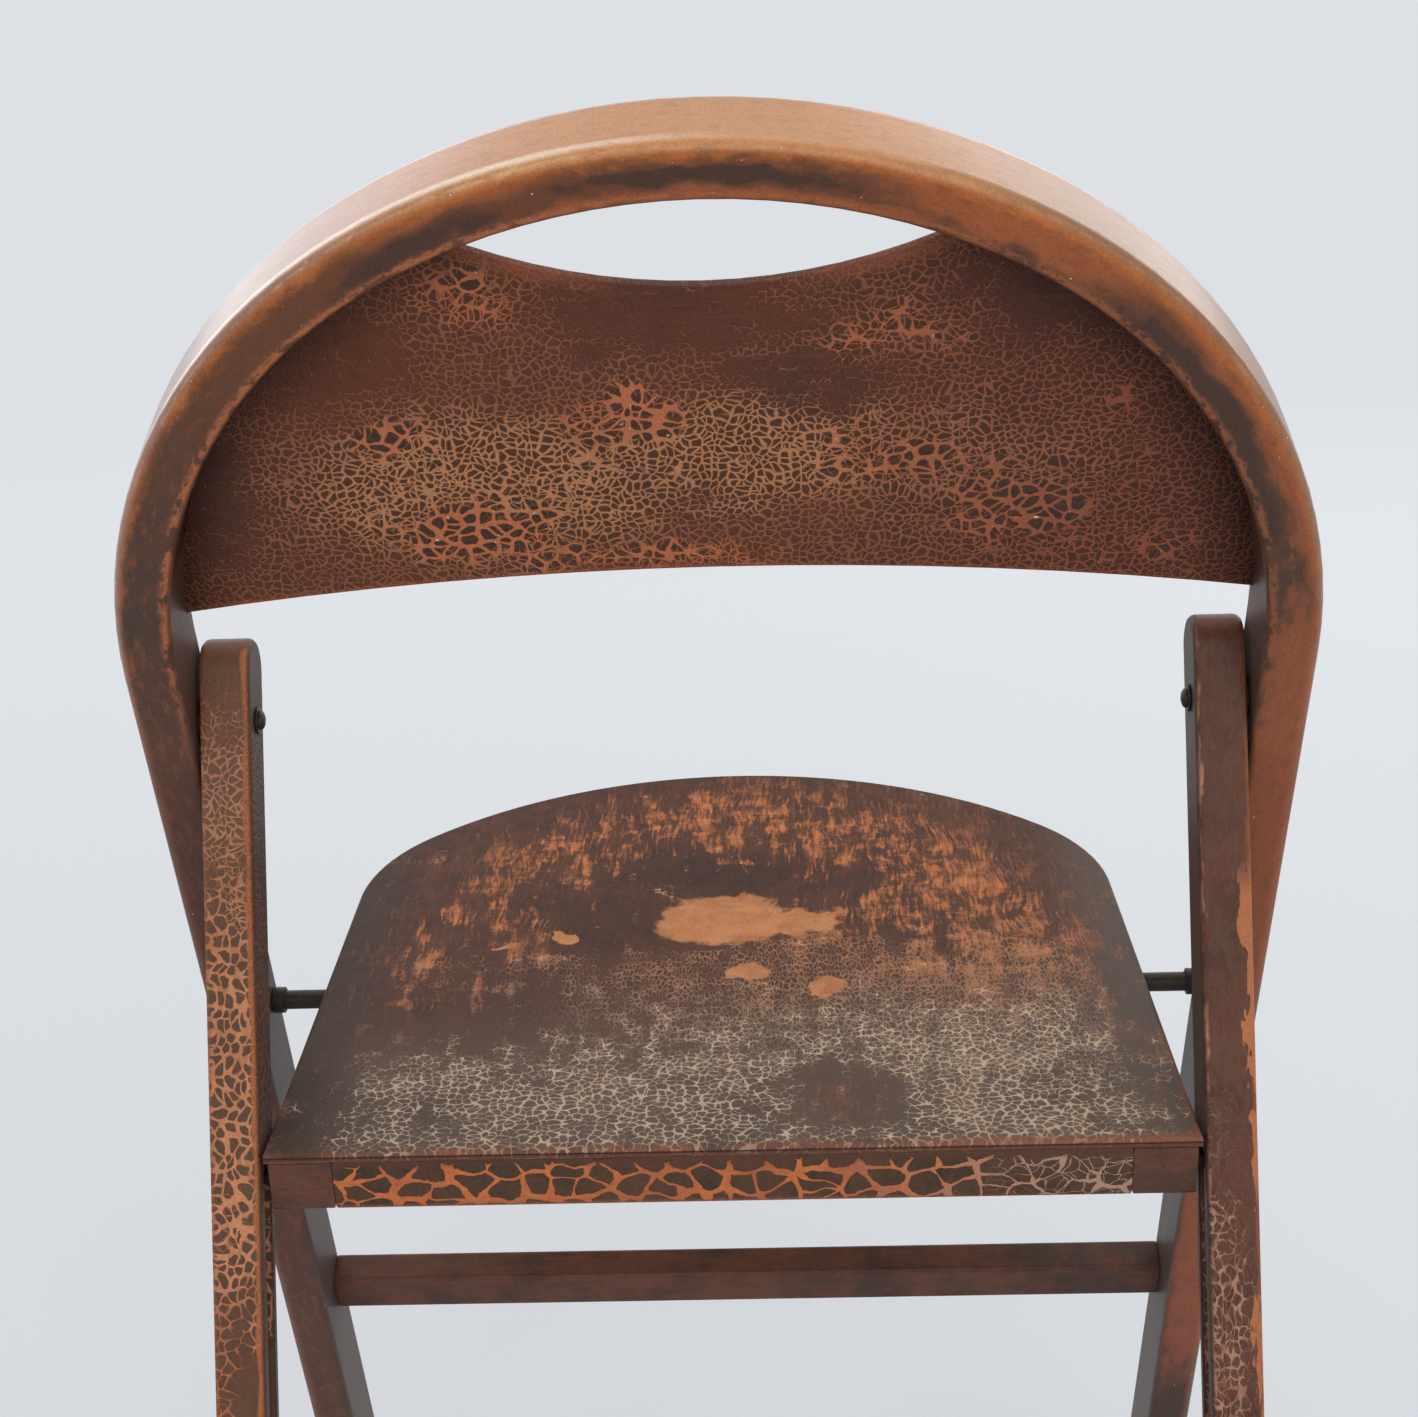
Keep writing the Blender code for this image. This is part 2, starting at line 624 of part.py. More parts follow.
def make_leg_rivet(name, side):
    """Rivet through the frame and a rear leg, domed outside and headed over inside."""
    face = HOOP_HALF + JOINT_GAP
    tail = LEG_INNER - RUN_CLEAR - RIVET_WASHER_THICK - JOINT_GAP
    inner = list(reversed(dome(tail, RIVET_TAIL_RADIUS, RIVET_TAIL_TALL, -1.0)))
    outer = dome(face, RIVET_HEAD_RADIUS, RIVET_HEAD_TALL, 1.0)
    bm = turned(inner + [(tail, RIVET_RADIUS), (face, RIVET_RADIUS)] + outer, LEG_AXIS)
    return make_object(name, on_side(bm, side), FRAME_ORIGIN, IRON, 0.8, 0.45)


def make_rivet_washer(name, side):
    """Washer under a rivet's inner end."""
    high = LEG_INNER - RUN_CLEAR
    bm = ring(high - RIVET_WASHER_THICK, high, RIVET_WASHER_RADIUS, RIVET_RADIUS + JOINT_GAP, LEG_AXIS)
    return make_object(name, on_side(bm, side), FRAME_ORIGIN, IRON, 0.8, 0.5)


def make_leg_spacer(name, side):
    """Washer that holds a rear leg clear of the frame."""
    low = LEG_OUTER + RUN_CLEAR
    high = HOOP_HALF - HOOP_THICK - JOINT_GAP
    bm = ring(low, high, SPACER_RADIUS, RIVET_RADIUS + JOINT_GAP, LEG_AXIS)
    return make_object(name, on_side(bm, side), FRAME_ORIGIN, IRON, 0.8, 0.5)


def clear_scene():
    """Start from an empty scene."""
    for obj in list(bpy.data.objects):
        bpy.data.objects.remove(obj)


def main():
    """Build every piece of the chair."""
    clear_scene()
    make_hoop_frame()
    make_panel_solid("back_panel", 0.0)
    make_object("front_stretcher", front_stretcher_core(0.0), FRAME_ORIGIN, PAINT)
    make_pivot_rod()
    make_object("rear_stretcher", rear_stretcher_core(0.0), LEG_AXIS, PAINT)
    make_seat_panel()
    make_rear_rail()
    make_front_rail()
    for word, side in (("left", -1.0), ("right", 1.0)):
        make_rear_leg("rear_leg_" + word, side)
        make_side_rail("seat_rail_" + word, side)
        make_leg_rivet("leg_rivet_" + word, side)
        make_rivet_washer("rivet_washer_" + word, side)
        make_leg_spacer("leg_spacer_" + word, side)
        make_rod_washer("rod_washer_" + word, side)
        make_slide_pin("slide_pin_" + word, side)


main()
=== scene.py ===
"""Dressed model of a hoop-back folding chair in crackled, worn brown paint.

The chair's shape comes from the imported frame. This script gives every node a smooth
piece of its own, dresses it in layered paint, and sets the studio and the camera.
"""
from __future__ import annotations

import logging
import math
from dataclasses import dataclass
from enum import Enum
from typing import Sequence, Union

import bmesh
import bpy
from mathutils import Matrix, Vector


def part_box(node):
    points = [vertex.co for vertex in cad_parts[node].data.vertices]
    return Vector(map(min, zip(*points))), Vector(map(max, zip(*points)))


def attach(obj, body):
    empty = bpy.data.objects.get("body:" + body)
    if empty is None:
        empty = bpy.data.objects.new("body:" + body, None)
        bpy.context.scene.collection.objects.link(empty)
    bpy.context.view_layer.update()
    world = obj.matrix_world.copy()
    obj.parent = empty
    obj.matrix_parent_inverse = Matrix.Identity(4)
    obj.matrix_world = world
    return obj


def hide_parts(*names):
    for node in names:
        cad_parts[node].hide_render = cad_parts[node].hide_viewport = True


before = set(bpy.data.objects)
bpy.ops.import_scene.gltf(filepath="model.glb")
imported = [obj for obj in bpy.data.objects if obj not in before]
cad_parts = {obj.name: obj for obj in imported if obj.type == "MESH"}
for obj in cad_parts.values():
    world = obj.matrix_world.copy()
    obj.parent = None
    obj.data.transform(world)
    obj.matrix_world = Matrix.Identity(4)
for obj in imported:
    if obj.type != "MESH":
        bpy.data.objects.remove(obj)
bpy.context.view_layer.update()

LOG = logging.getLogger("chair")

PIVOT = Vector((0.0, 0.0061, 0.5900))
FRAME_LEAN = math.radians(17.3)
LEG_SLANT = math.radians(22.3)
SEAT_TILT = math.radians(1.5)
SEAT_REAR = PIVOT + Vector((0.0, -0.0745, -0.1425))
GRIT_SIZE = 0.0009
COAT_ROUGHNESS = 0.26

Colour = tuple[float, float, float]
Spot = tuple[float, float, float, float, float]
Socket = bpy.types.NodeSocket
Number = Union["Value", float]


def srgb(red: int, green: int, blue: int) -> Colour:
    """Scene-linear colour of an 8-bit display colour."""

    def linear(level: int) -> float:
        share = level / 255.0
        return share / 12.92 if share <= 0.04045 else ((share + 0.055) / 1.055) ** 2.4

    return (linear(red), linear(green), linear(blue))


class Body(Enum):
    """Rigid bodies of the folding chair."""

    FRAME = "frame"
    LEGS = "rear_legs"
    SEAT = "seat"


class Value:
    """A number output in a shader, with arithmetic that adds Math nodes."""

    def __init__(self, graph: Graph, socket: Socket) -> None:
        """Wrap a socket of a graph."""
        self.graph = graph
        self.socket = socket

    def maths(self, operation: str, *others: Number) -> Value:
        """Math node of this value and up to two others."""
        return self.graph.maths(operation, self, *others)

    def __add__(self, other: Number) -> Value:
        """Sum."""
        return self.maths("ADD", other)

    __radd__ = __add__

    def __sub__(self, other: Number) -> Value:
        """Difference."""
        return self.maths("SUBTRACT", other)

    def __rsub__(self, other: Number) -> Value:
        """Difference from a plain number."""
        return self.graph.maths("SUBTRACT", other, self)

    def __mul__(self, other: Number) -> Value:
        """Product."""
        return self.maths("MULTIPLY", other)

    __rmul__ = __mul__

    def __neg__(self) -> Value:
        """Negative."""
        return self.maths("MULTIPLY", -1.0)

    def __abs__(self) -> Value:
        """Size without sign."""
        return self.maths("ABSOLUTE")

    def __or__(self, other: Number) -> Value:
        """The larger of two masks."""
        return self.maths("MAXIMUM", other)

    def __and__(self, other: Number) -> Value:
        """The smaller of two masks."""
        return self.maths("MINIMUM", other)

    def smooth(self, low: Number, high: Number) -> Value:
        """Smooth step from 0 at low to 1 at high.

        Args:
            low: level that gives 0.
            high: level that gives 1.

        Returns:
            The step as a value between 0 and 1.
        """
        node = self.graph.node(
            "ShaderNodeMapRange",
            {"interpolation_type": "SMOOTHSTEP", "clamp": True},
            {"Value": self, "From Min": low, "From Max": high},
        )
        return Value(self.graph, node.outputs["Result"])

    def fade(self, low: Number, high: Number) -> Value:
        """Smooth step from 1 at low to 0 at high."""
        return 1.0 - self.smooth(low, high)

    def sway(self, reach: float) -> Value:
        """A noise made to swing about 0, over a reach."""
        return (self - 0.5) * reach


class Graph:
    """A material's nodes, with short ways to add the ones that paint needs."""

    def __init__(self, owner: bpy.types.Material | bpy.types.World) -> None:
        """Clear the nodes of a material or world and start with Object coordinates."""
        owner.use_nodes = True
        self.tree = owner.node_tree
        self.tree.nodes.clear()
        self.place = self.node("ShaderNodeTexCoord", {}, {}).outputs["Object"]

    def node(self, kind: str, settings: dict, sockets: dict) -> bpy.types.Node:
        """Add a node.

        Args:
            kind: node type.
            settings: attributes, set first.
            sockets: input name or index to a link or a plain value.

        Returns:
            The new node.
        """
        node = self.tree.nodes.new(kind)
        for name, setting in settings.items():
            setattr(node, name, setting)
        for key, given in sockets.items():
            target = node.inputs[key]
            if isinstance(given, Value):
                self.tree.links.new(given.socket, target)
            elif isinstance(given, Socket):
                self.tree.links.new(given, target)
            elif target.type == "RGBA" and len(given) == 3:
                target.default_value = (*given, 1.0)
            else:
                target.default_value = given
        return node

    def maths(self, operation: str, *terms: Number) -> Value:
        """Math node of up to three terms."""
        node = self.node("ShaderNodeMath", {"operation": operation}, dict(enumerate(terms)))
        return Value(self, node.outputs[0])

    def vector(self, operation: str, *terms) -> Socket:
        """Vector Math node that gives a vector."""
        node = self.node("ShaderNodeVectorMath", {"operation": operation}, dict(enumerate(terms)))
        return node.outputs["Vector"]

    def length(self, vector: Socket) -> Value:
        """Length of a vector."""
        node = self.node("ShaderNodeVectorMath", {"operation": "LENGTH"}, {0: vector})
        return Value(self, node.outputs["Value"])

    def combine(self, x: Number, y: Number, z: Number) -> Socket:
        """Vector of three numbers."""
        return self.node("ShaderNodeCombineXYZ", {}, {"X": x, "Y": y, "Z": z}).outputs["Vector"]

    def axes(self, vector: Socket) -> tuple[Value, Value, Value]:
        """The three numbers of a vector."""
        node = self.node("ShaderNodeSeparateXYZ", {}, {"Vector": vector})
        return tuple(Value(self, node.outputs[i]) for i in range(3))

    def turned(self, angle: float, origin: Vector) -> Socket:
        """Coordinates turned about X, so that a leaning piece stands upright.

        Args:
            angle: turn in radians.
            origin: point that becomes 0, 0, 0.

        Returns:
            The turned coordinates.
        """
        shift = Matrix.Rotation(angle, 3, "X") @ origin
        node = self.node(
            "ShaderNodeMapping",
            {"vector_type": "POINT"},
            {"Vector": self.place, "Location": -shift, "Rotation": (angle, 0.0, 0.0)},
        )
        return node.outputs["Vector"]

    def noise(
        self,
        place: Socket,
        size: float,
        stretch: Colour = (1.0, 1.0, 1.0),
        detail: float = 3.0,
        rough: float = 0.55,
        seed: float = 0.0,
    ) -> Value:
        """Soft noise between 0 and 1.

        Args:
            place: coordinates.
            size: size of a patch in metres.
            stretch: how much longer a patch is along each axis.
            detail: octaves.
            rough: strength of the finer octaves.
            seed: shift that makes another pattern.

        Returns:
            The noise.
        """
        scale = tuple(1.0 / (size * part) for part in stretch)
        scaled = self.vector("MULTIPLY_ADD", place, scale, (seed, seed * 0.7, seed * 1.3))
        node = self.node(
            "ShaderNodeTexNoise", {}, {"Vector": scaled, "Scale": 1.0, "Detail": detail, "Roughness": rough}
        )
        return Value(self, node.outputs[0])

    def wander(self, place: Socket, size: float, reach: float) -> Socket:
        """Coordinates pushed about by noise of a patch size, up to about half a reach."""
        node = self.node("ShaderNodeTexNoise", {}, {"Vector": place, "Scale": 1.0 / size, "Detail": 0.0})
        push = self.vector("SUBTRACT", node.outputs["Color"], (0.5, 0.5, 0.5))
        return self.vector("MULTIPLY_ADD", push, (reach, reach, reach), place)

    def warped(self, place: Socket) -> Socket:
        """Coordinates bent at two scales, so that cracks run like real ones."""
        return self.wander(self.wander(place, 0.0080, 0.0048), 0.0021, 0.0010)

    def mix(self, share: Number, first, second) -> Socket:
        """Colour between two colours."""
        node = self.node(
            "ShaderNodeMix", {"data_type": "RGBA", "clamp_factor": True}, {0: share, 6: first, 7: second}
        )
        return node.outputs[2]

    def shade(self, colour, factor: Value) -> Socket:
        """Colour multiplied by a grey level."""
        node = self.node(
            "ShaderNodeMix",
            {"data_type": "RGBA", "blend_type": "MULTIPLY"},
            {0: 1.0, 6: colour, 7: self.combine(factor, factor, factor)},
        )
        return node.outputs[2]

    def blend(self, share: Number, first: Number, second: Number) -> Value:
        """Number between two numbers."""
        node = self.node("ShaderNodeMix", {"data_type": "FLOAT"}, {0: share, 2: first, 3: second})
        return Value(self, node.outputs[0])

    def spots(self, place: Socket, spots: Sequence[Spot], plane: str = "xz") -> Value:
        """Mask of soft oval spots.

        Args:
            place: coordinates, usually wandered so that the spots are ragged.
            spots: centre and radii on the plane, in metres, and a weight.
            plane: the two axes that the spots lie on.

        Returns:
            The weight in a spot's middle, 0 outside it.
        """
        first, second = ("xyz".index(axis) for axis in plane)
        mask: Value | None = None
        for centre_a, centre_b, radius_a, radius_b, weight in spots:
            scale = [0.0, 0.0, 0.0]
            shift = [0.0, 0.0, 0.0]
            scale[first], scale[second] = 1.0 / radius_a, 1.0 / radius_b
            shift[first], shift[second] = -centre_a / radius_a, -centre_b / radius_b
            away = self.length(self.vector("MULTIPLY_ADD", place, tuple(scale), tuple(shift)))
            spot = away.smooth(1.0, 0.15) * weight
            mask = spot if mask is None else mask | spot
        return mask

    def seen(self) -> Value:
        """1 on rays that show a background to the camera or in a reflection, else 0."""
        rays = self.node("ShaderNodeLightPath", {}, {})
        camera, glossy, through = (
            Value(self, rays.outputs[f"Is {kind} Ray"]) for kind in ("Camera", "Glossy", "Transmission")
        )
        return camera | glossy | through

    def finish(self, look: Look) -> None:
        """Join a look to the shader and the material's output.

        Args:
            look: colour, roughness and the rest.
        """
        colour = look.colour
        if look.grit:
            speck = self.noise(self.place, GRIT_SIZE, detail=1.0, rough=0.7, seed=31.0)
            colour = self.shade(colour, (speck - 0.5) * (look.grit * 2.0) + 1.0)
        shader_sockets = {
            "Base Color": colour,
            "Roughness": look.roughness,
            "Metallic": look.metallic,
            "IOR": look.ior,
            "Specular IOR Level": look.specular,
        }
        if look.coat is not None:
            shader_sockets["Coat Weight"] = look.coat
            shader_sockets["Coat Roughness"] = COAT_ROUGHNESS
        if look.emission is not None:
            shader_sockets["Emission Color"] = look.emission
            shader_sockets["Emission Strength"] = 1.0
        if look.height is not None:
            bump = self.node(
                "ShaderNodeBump", {}, {"Strength": 1.0, "Distance": look.relief, "Height": look.height}
            )
            shader_sockets["Normal"] = bump.outputs["Normal"]
        shader = self.node("ShaderNodeBsdfPrincipled", {}, shader_sockets)
        self.node("ShaderNodeOutputMaterial", {}, {"Surface": shader.outputs[0]})


@dataclass
class Look:
    """What a finish gives the shader."""

    colour: Socket | Colour
    roughness: Number = 0.5
    height: Value | None = None
    relief: float = 0.0004
    metallic: float = 0.0
    coat: Number | None = None
    ior: float = 1.35
    specular: float = 0.5
    grit: float = 0.30
    emission: Socket | None = None


@dataclass(frozen=True)
class Net:
    """A drawn net of cracks: cover is 0 in a crack, tone is each cell's own number."""

    cover: Value
    tone: Number = 0.5


@dataclass(frozen=True)
class Crackle:
    """One net of cracks in a paint film, drawn on two coordinates of a surface."""

    cell: float
    width: float = 0.12
    soft: float = 0.05
    stretch: tuple[float, float] = (1.0, 1.0)
    knots: float = 1.1
    seed: float = 0.0

    def lay(self, graph: Graph, across: Value, along: Value, strength: Number = 1.0) -> Net:
        """Draw the net.

        Args:
            graph: material to draw in.
            across: first coordinate, in metres.
            along: second coordinate, in metres.
            strength: 0 closes the cracks, 1 opens them to their width.

        Returns:
            The drawn net.
        """
        first = across * (1.0 / (self.cell * self.stretch[0])) + self.seed
        second = along * (1.0 / (self.cell * self.stretch[1])) + self.seed * 1.7
        spot = graph.combine(first, second, 0.0)
        sockets = {"Vector": spot, "Scale": 1.0, "Randomness": 0.95}
        net = graph.node(
            "ShaderNodeTexVoronoi", {"feature": "DISTANCE_TO_EDGE", "voronoi_dimensions": "2D"}, sockets
        )
        opening: Number = self.width
        tone: Number = 0.5
        if self.knots:
            cells = graph.node("ShaderNodeTexVoronoi", {"feature": "F1", "voronoi_dimensions": "2D"}, sockets)
            corner = Value(graph, cells.outputs["Distance"]).smooth(0.30, 0.85)
            opening = corner * (self.width * self.knots) + self.width * 0.7
            tone = graph.axes(cells.outputs["Color"])[0]
        width = strength * (opening + self.soft) - self.soft
        return Net(Value(graph, net.outputs["Distance"]).smooth(width - self.soft, width + self.soft), tone)


@dataclass(frozen=True)
class Finish:
    """A named paint or metal. Each kind says how its look is made."""

    name: str

    def look(self, graph: Graph) -> Look:
        """The finish's look. Kinds of finish replace this."""
        raise NotImplementedError

    def material(self) -> bpy.types.Material:
        """The finish as a material."""
        material = bpy.data.materials.new(self.name)
        graph = Graph(material)
        graph.finish(self.look(graph))
        return material


SOOT = srgb(60, 48, 38)
RED_BROWN = srgb(116, 66, 48)
GOLD = srgb(180, 104, 50)
BEIGE = srgb(186, 166, 142)
CREAM = srgb(222, 212, 194)
IRON_DARK = srgb(52, 48, 45)
IRON_RUST = srgb(86, 62, 48)


@dataclass(frozen=True)
class PanelPaint(Finish):
    """Fine crackle with clusters of large cells, for the back panel."""

    top: float = 0.1721
    top_radius: float = 0.1990
    bottom: float = 0.0580
    bottom_radius: float = 1.3100
    middle: float = 0.0125
    hoop_inner: float = 0.1800
    hoop_out: float = 0.015
    hoop_up: float = 0.0325
    fine: Crackle = Crackle(cell=0.0029, width=0.155, soft=0.08, stretch=(1.05, 0.95), knots=0.0, seed=3.0)
    coarse: Crackle = Crackle(cell=0.0050, width=0.17, soft=0.055, stretch=(1.1, 0.9), knots=1.4, seed=23.0)
    large_spots: tuple[Spot, ...] = (
        (-0.083, 0.076, 0.054, 0.026, 1.0),
        (-0.020, 0.062, 0.085, 0.010, 0.8),
        (-0.114, 0.116, 0.026, 0.014, 0.8),
        (-0.024, 0.124, 0.044, 0.020, 0.8),
        (0.066, 0.104, 0.050, 0.026, 0.75),
        (0.104, 0.080, 0.046, 0.026, 1.0),
        (0.060, 0.152, 0.040, 0.024, 0.7),
        (-0.080, 0.168, 0.040, 0.026, 0.7),
        (0.146, 0.130, 0.024, 0.030, 0.6),
        (0.150, 0.064, 0.050, 0.016, 0.7),
    )
    tan_spots: tuple[Spot, ...] = (
        (-0.080, 0.094, 0.105, 0.048, 1.0),
        (0.010, 0.106, 0.110, 0.040, 0.8),
        (0.096, 0.098, 0.080, 0.044, 0.6),
    )
    smooth_spots: tuple[Spot, ...] = (
        (-0.130, 0.148, 0.060, 0.034, 0.6),
        (-0.176, 0.096, 0.030, 0.070, 0.6),
        (-0.010, 0.162, 0.080, 0.026, 0.7),
        (0.118, 0.166, 0.060, 0.036, 0.6),
        (0.032, 0.136, 0.060, 0.022, 0.7),
        (0.000, 0.086, 0.050, 0.014, 0.25),
    )

    def look(self, graph: Graph) -> Look:
        """Two nets of cracks that open and close with the place, with painted shade along the hoop and
        painted glints on the large cells.

        Args:
            graph: material to work in.

        Returns:
            The look.
        """
        x, fore, up = graph.axes(graph.turned(-FRAME_LEAN, PIVOT))
        front = (fore - self.middle).smooth(-0.0001, 0.0001)
        x = x * (1.0 - front * 2.0)
        place = graph.combine(x, fore + front * 0.2, up)
        ragged = graph.wander(place, 0.016, 0.020)
        drift = graph.noise(place, 0.011, (1.6, 1.0, 1.0), detail=2.0, rough=0.6, seed=2.0)
        tone = graph.noise(place, 0.040, detail=1.0, seed=9.0)
        streak = graph.noise(place, 0.0022, (12.0, 1.0, 1.0), detail=1.0, seed=12.0)
        cluster = graph.spots(ragged, self.large_spots)
        tan = graph.spots(ragged, self.tan_spots)
        size = cluster * 0.75 + tan * 0.22 + drift.sway(1.6)
        calm = graph.spots(ragged, self.smooth_spots) * 0.9 + drift.sway(0.9) + streak.sway(1.0)
        opened = 1.0 - calm.smooth(-0.05, 0.95) * 0.85
        across, _, along = graph.axes(graph.warped(place))
        across = across + front * 0.7
        small_open = opened * (1.0 - size.smooth(0.35, 0.85) * 0.75) * (0.65 + drift * 0.7)
        small = self.fine.lay(graph, across, along, small_open).cover
        large_open = size.smooth(0.05, 0.80) * (0.4 + opened * 0.6)
        large = self.coarse.lay(graph, across, along, large_open).cover
        cover = small & large
        right = (x + tone.sway(0.06)).smooth(0.02, 0.15)
        paint = graph.mix(tone.smooth(0.30, 0.70), srgb(96, 54, 36), srgb(84, 52, 41))
        paint = graph.mix(right * 0.85, paint, srgb(72, 42, 34))
        paint = graph.mix(opened * tan.smooth(0.0, 0.7) * 0.7, paint, srgb(74, 47, 36))
        paint = graph.mix(size.smooth(0.30, 0.80) * 0.9, paint, SOOT)
        paint = graph.mix(streak.smooth(0.50, 0.85) * 0.5, paint, srgb(112, 64, 46))
        ground = graph.mix(tan.smooth(0.0, 0.9), srgb(130, 80, 58), srgb(176, 120, 86))
        ground = graph.mix((cluster + drift.sway(0.8)).smooth(0.25, 0.90), ground, srgb(176, 103, 71))
        ground = graph.mix(right * 0.75, ground, srgb(122, 70, 52))
        colour = graph.mix(cover, ground, paint)
        below_top = graph.length(graph.combine(x, up - (self.top + self.top_radius), 0.0)) - self.top_radius
        above_bottom = up + x * x * (0.5 / self.bottom_radius) - self.bottom
        stripe = (below_top + drift.sway(0.004)).fade(0.0010, 0.0065) * abs(x).smooth(0.02, 0.06)
        stripe = stripe | (above_bottom + drift.sway(0.004)).fade(0.0004, 0.0028) * (1.0 - right * 0.7)
        colour = graph.mix(stripe * 0.65, colour, srgb(150, 86, 58))
        # Painted shade: darker near the hoop's inner face, where the hoop shades the panel.
        over = (up - self.hoop_up) | 0.0
        side = self.hoop_inner - graph.length(graph.combine(abs(x) - self.hoop_out, over, 0.0))
        colour = graph.shade(colour, 1.0 - (side + tone.sway(0.012)).fade(-0.004, 0.026) * 0.55)
        # Painted glints: small cream specks on the large dark cells.
        specks = graph.noise(place, 0.0016, detail=0.0, seed=19.0).smooth(0.83, 0.86)
        colour = graph.mix(specks * size.smooth(0.5, 0.9) * 0.8, colour, CREAM)
        rough = graph.blend(cover, 0.62, 0.40) + tone.sway(0.2)
        return Look(colour, rough, cover, 0.00030, specular=0.25)


@dataclass(frozen=True)
class HoopPaint(Finish):
    """Dark paint rubbed through to golden wood, for the bent frame."""

    crown_radius: float = 0.2300
    side_radius: float = 0.2000
    top: float = 0.2365
    crown_angle: float = math.radians(30.0)
    thick: float = 0.0200
    depth: float = 0.0360
    shine_line: float = 0.0052
    warm_spots: tuple[Spot, ...] = (
        (0.000, 0.018, 0.150, 0.0070, 0.7),
        (0.110, 0.006, 0.080, 0.0180, 1.0),
        (0.230, 0.001, 0.130, 0.0140, 1.0),
        (0.430, 0.008, 0.140, 0.0300, 1.1),
        (0.650, 0.008, 0.200, 0.0300, 0.9),
        (-0.080, 0.004, 0.060, 0.0080, 0.7),
        (-0.105, 0.018, 0.030, 0.0070, 0.6),
        (0.350, 0.006, 0.080, 0.0240, 0.9),
    )
    dark_spots: tuple[Spot, ...] = (
        (0.005, 0.0100, 0.085, 0.0062, 0.9),
        (-0.100, 0.0130, 0.060, 0.0100, 0.8),
        (0.115, 0.0170, 0.035, 0.0060, 0.6),
        (0.200, 0.0170, 0.080, 0.0120, 1.2),
        (0.255, 0.0165, 0.040, 0.0100, 1.0),
        (0.800, 0.0100, 0.060, 0.0200, 0.8),
    )

    def strip(self, graph: Graph, x: Value, up: Value) -> tuple[Value, Value]:
        """Unroll the bent bar.

        Args:
            graph: material to work in.
            x: sideways coordinate in the frame's plane.
            up: upward coordinate in the frame's plane.

        Returns:
            Length along the bar from the crown's middle, negative at the left, and
            depth under the bar's outer face.
        """
        narrower = self.crown_radius - self.side_radius
        crown_up = self.top - self.crown_radius
        side_up = crown_up + narrower * math.cos(self.crown_angle)
        out = abs(x) - narrower * math.sin(self.crown_angle)
        over = (up - side_up) | 0.0
        side_depth = self.side_radius - graph.length(graph.combine(out, over, 0.0))
        crown_depth = self.crown_radius - graph.length(graph.combine(x, up - crown_up, 0.0))
        side_along = out.maths("ARCTAN2", over) * self.side_radius + ((side_up - up) | 0.0)
        side_along = side_along + narrower * self.crown_angle
        crown_along = abs(x).maths("ARCTAN2", up - crown_up) * self.crown_radius
        on_crown = ((up - crown_up) * math.tan(self.crown_angle) - abs(x)).smooth(-0.001, 0.001)
        along = graph.blend(on_crown, side_along, crown_along) * x.maths("SIGN")
        return along, graph.blend(on_crown, side_depth, crown_depth)

    def look(self, graph: Graph) -> Look:
        """Paint by face: glossy outer face, darker rear face, worn arrises with a painted highlight, greyed
        legs with a painted sheen on their inner faces.

        Args:
            graph: material to work in.

        Returns:
            The look.
        """
        place = graph.turned(-FRAME_LEAN, PIVOT)
        x, fore, up = graph.axes(place)
        along, depth_in = self.strip(graph, x, up)
        half = self.depth / 2.0
        strip = graph.combine(along, fore, depth_in)
        ragged = graph.wander(strip, 0.012, 0.006)
        grain = graph.noise(strip, 0.0036, (2.2, 1.0, 1.0), detail=3.0, rough=0.7, seed=1.0)
        mottle = graph.noise(strip, 0.013, (1.6, 1.0, 1.0), detail=2.0, rough=0.6, seed=2.0)
        rub = grain.sway(0.009) + mottle.sway(0.007)
        on_hoop = up.smooth(-0.05, 0.10)
        high = up.smooth(0.06, 0.21)
        left = along.smooth(0.02, -0.06)
        rear = (fore + half).fade(0.0015, 0.0040)
        outer = depth_in.fade(0.0010, 0.0040)
        rear_out = graph.length(graph.combine(depth_in, fore + half, 0.0))
        rear_in = graph.length(graph.combine(depth_in - self.thick, fore + half, 0.0))
        front_out = graph.length(graph.combine(depth_in, fore - half, 0.0))
        paint = graph.mix(mottle.smooth(0.35, 0.65), srgb(84, 58, 45), srgb(72, 57, 47))
        paint = graph.mix(grain.smooth(0.50, 0.70) * 0.7, paint, srgb(124, 76, 52))
        legs = graph.mix(grain.smooth(0.4, 0.7), srgb(88, 58, 47), srgb(108, 66, 52))
        paint = graph.mix((1.0 - on_hoop) * 0.7, paint, legs)
        paint = graph.mix(high * 0.8, paint, srgb(108, 64, 42))
        warm = graph.mix(high, srgb(140, 80, 54), srgb(152, 86, 50))
        warm = graph.mix(grain.smooth(0.40, 0.75) * 0.6, warm, srgb(122, 68, 44))
        uneven = grain.sway(1.0) + mottle.sway(0.8)
        bare = (graph.spots(ragged, self.warm_spots) + uneven).smooth(0.20, 0.80)
        dark = (graph.spots(ragged, self.dark_spots) + uneven * 1.1).smooth(0.30, 0.75)
        colour = graph.mix(bare * rear, paint, warm)
        colour = graph.mix(dark * rear * 0.85, colour, srgb(66, 49, 40))
        width = graph.blend(high, 0.0056, 0.0080)
        glow = (rear_out + rub).fade(0.0010, width) * graph.blend(on_hoop, 0.25, 0.95)
        colour = graph.mix(glow, colour, graph.mix(high, srgb(158, 92, 54), GOLD))
        chips = (rear_in + rub).fade(0.0006, 0.0060) * graph.blend(on_hoop, 0.10, 1.0)
        torn = (mottle + grain - 0.5).smooth(0.38, 0.54) * graph.blend(left, 0.55, 1.0)
        colour = graph.mix(chips.smooth(0.10, 0.70) * torn, colour, srgb(164, 98, 62))
        top_face = graph.mix(high, srgb(132, 82, 60), srgb(192, 132, 80))
        top_face = graph.mix(along.smooth(-0.05, -0.16) * on_hoop, top_face, srgb(150, 108, 88))
        top_face = graph.mix(along.smooth(0.05, 0.14) * on_hoop, top_face, srgb(144, 101, 71))
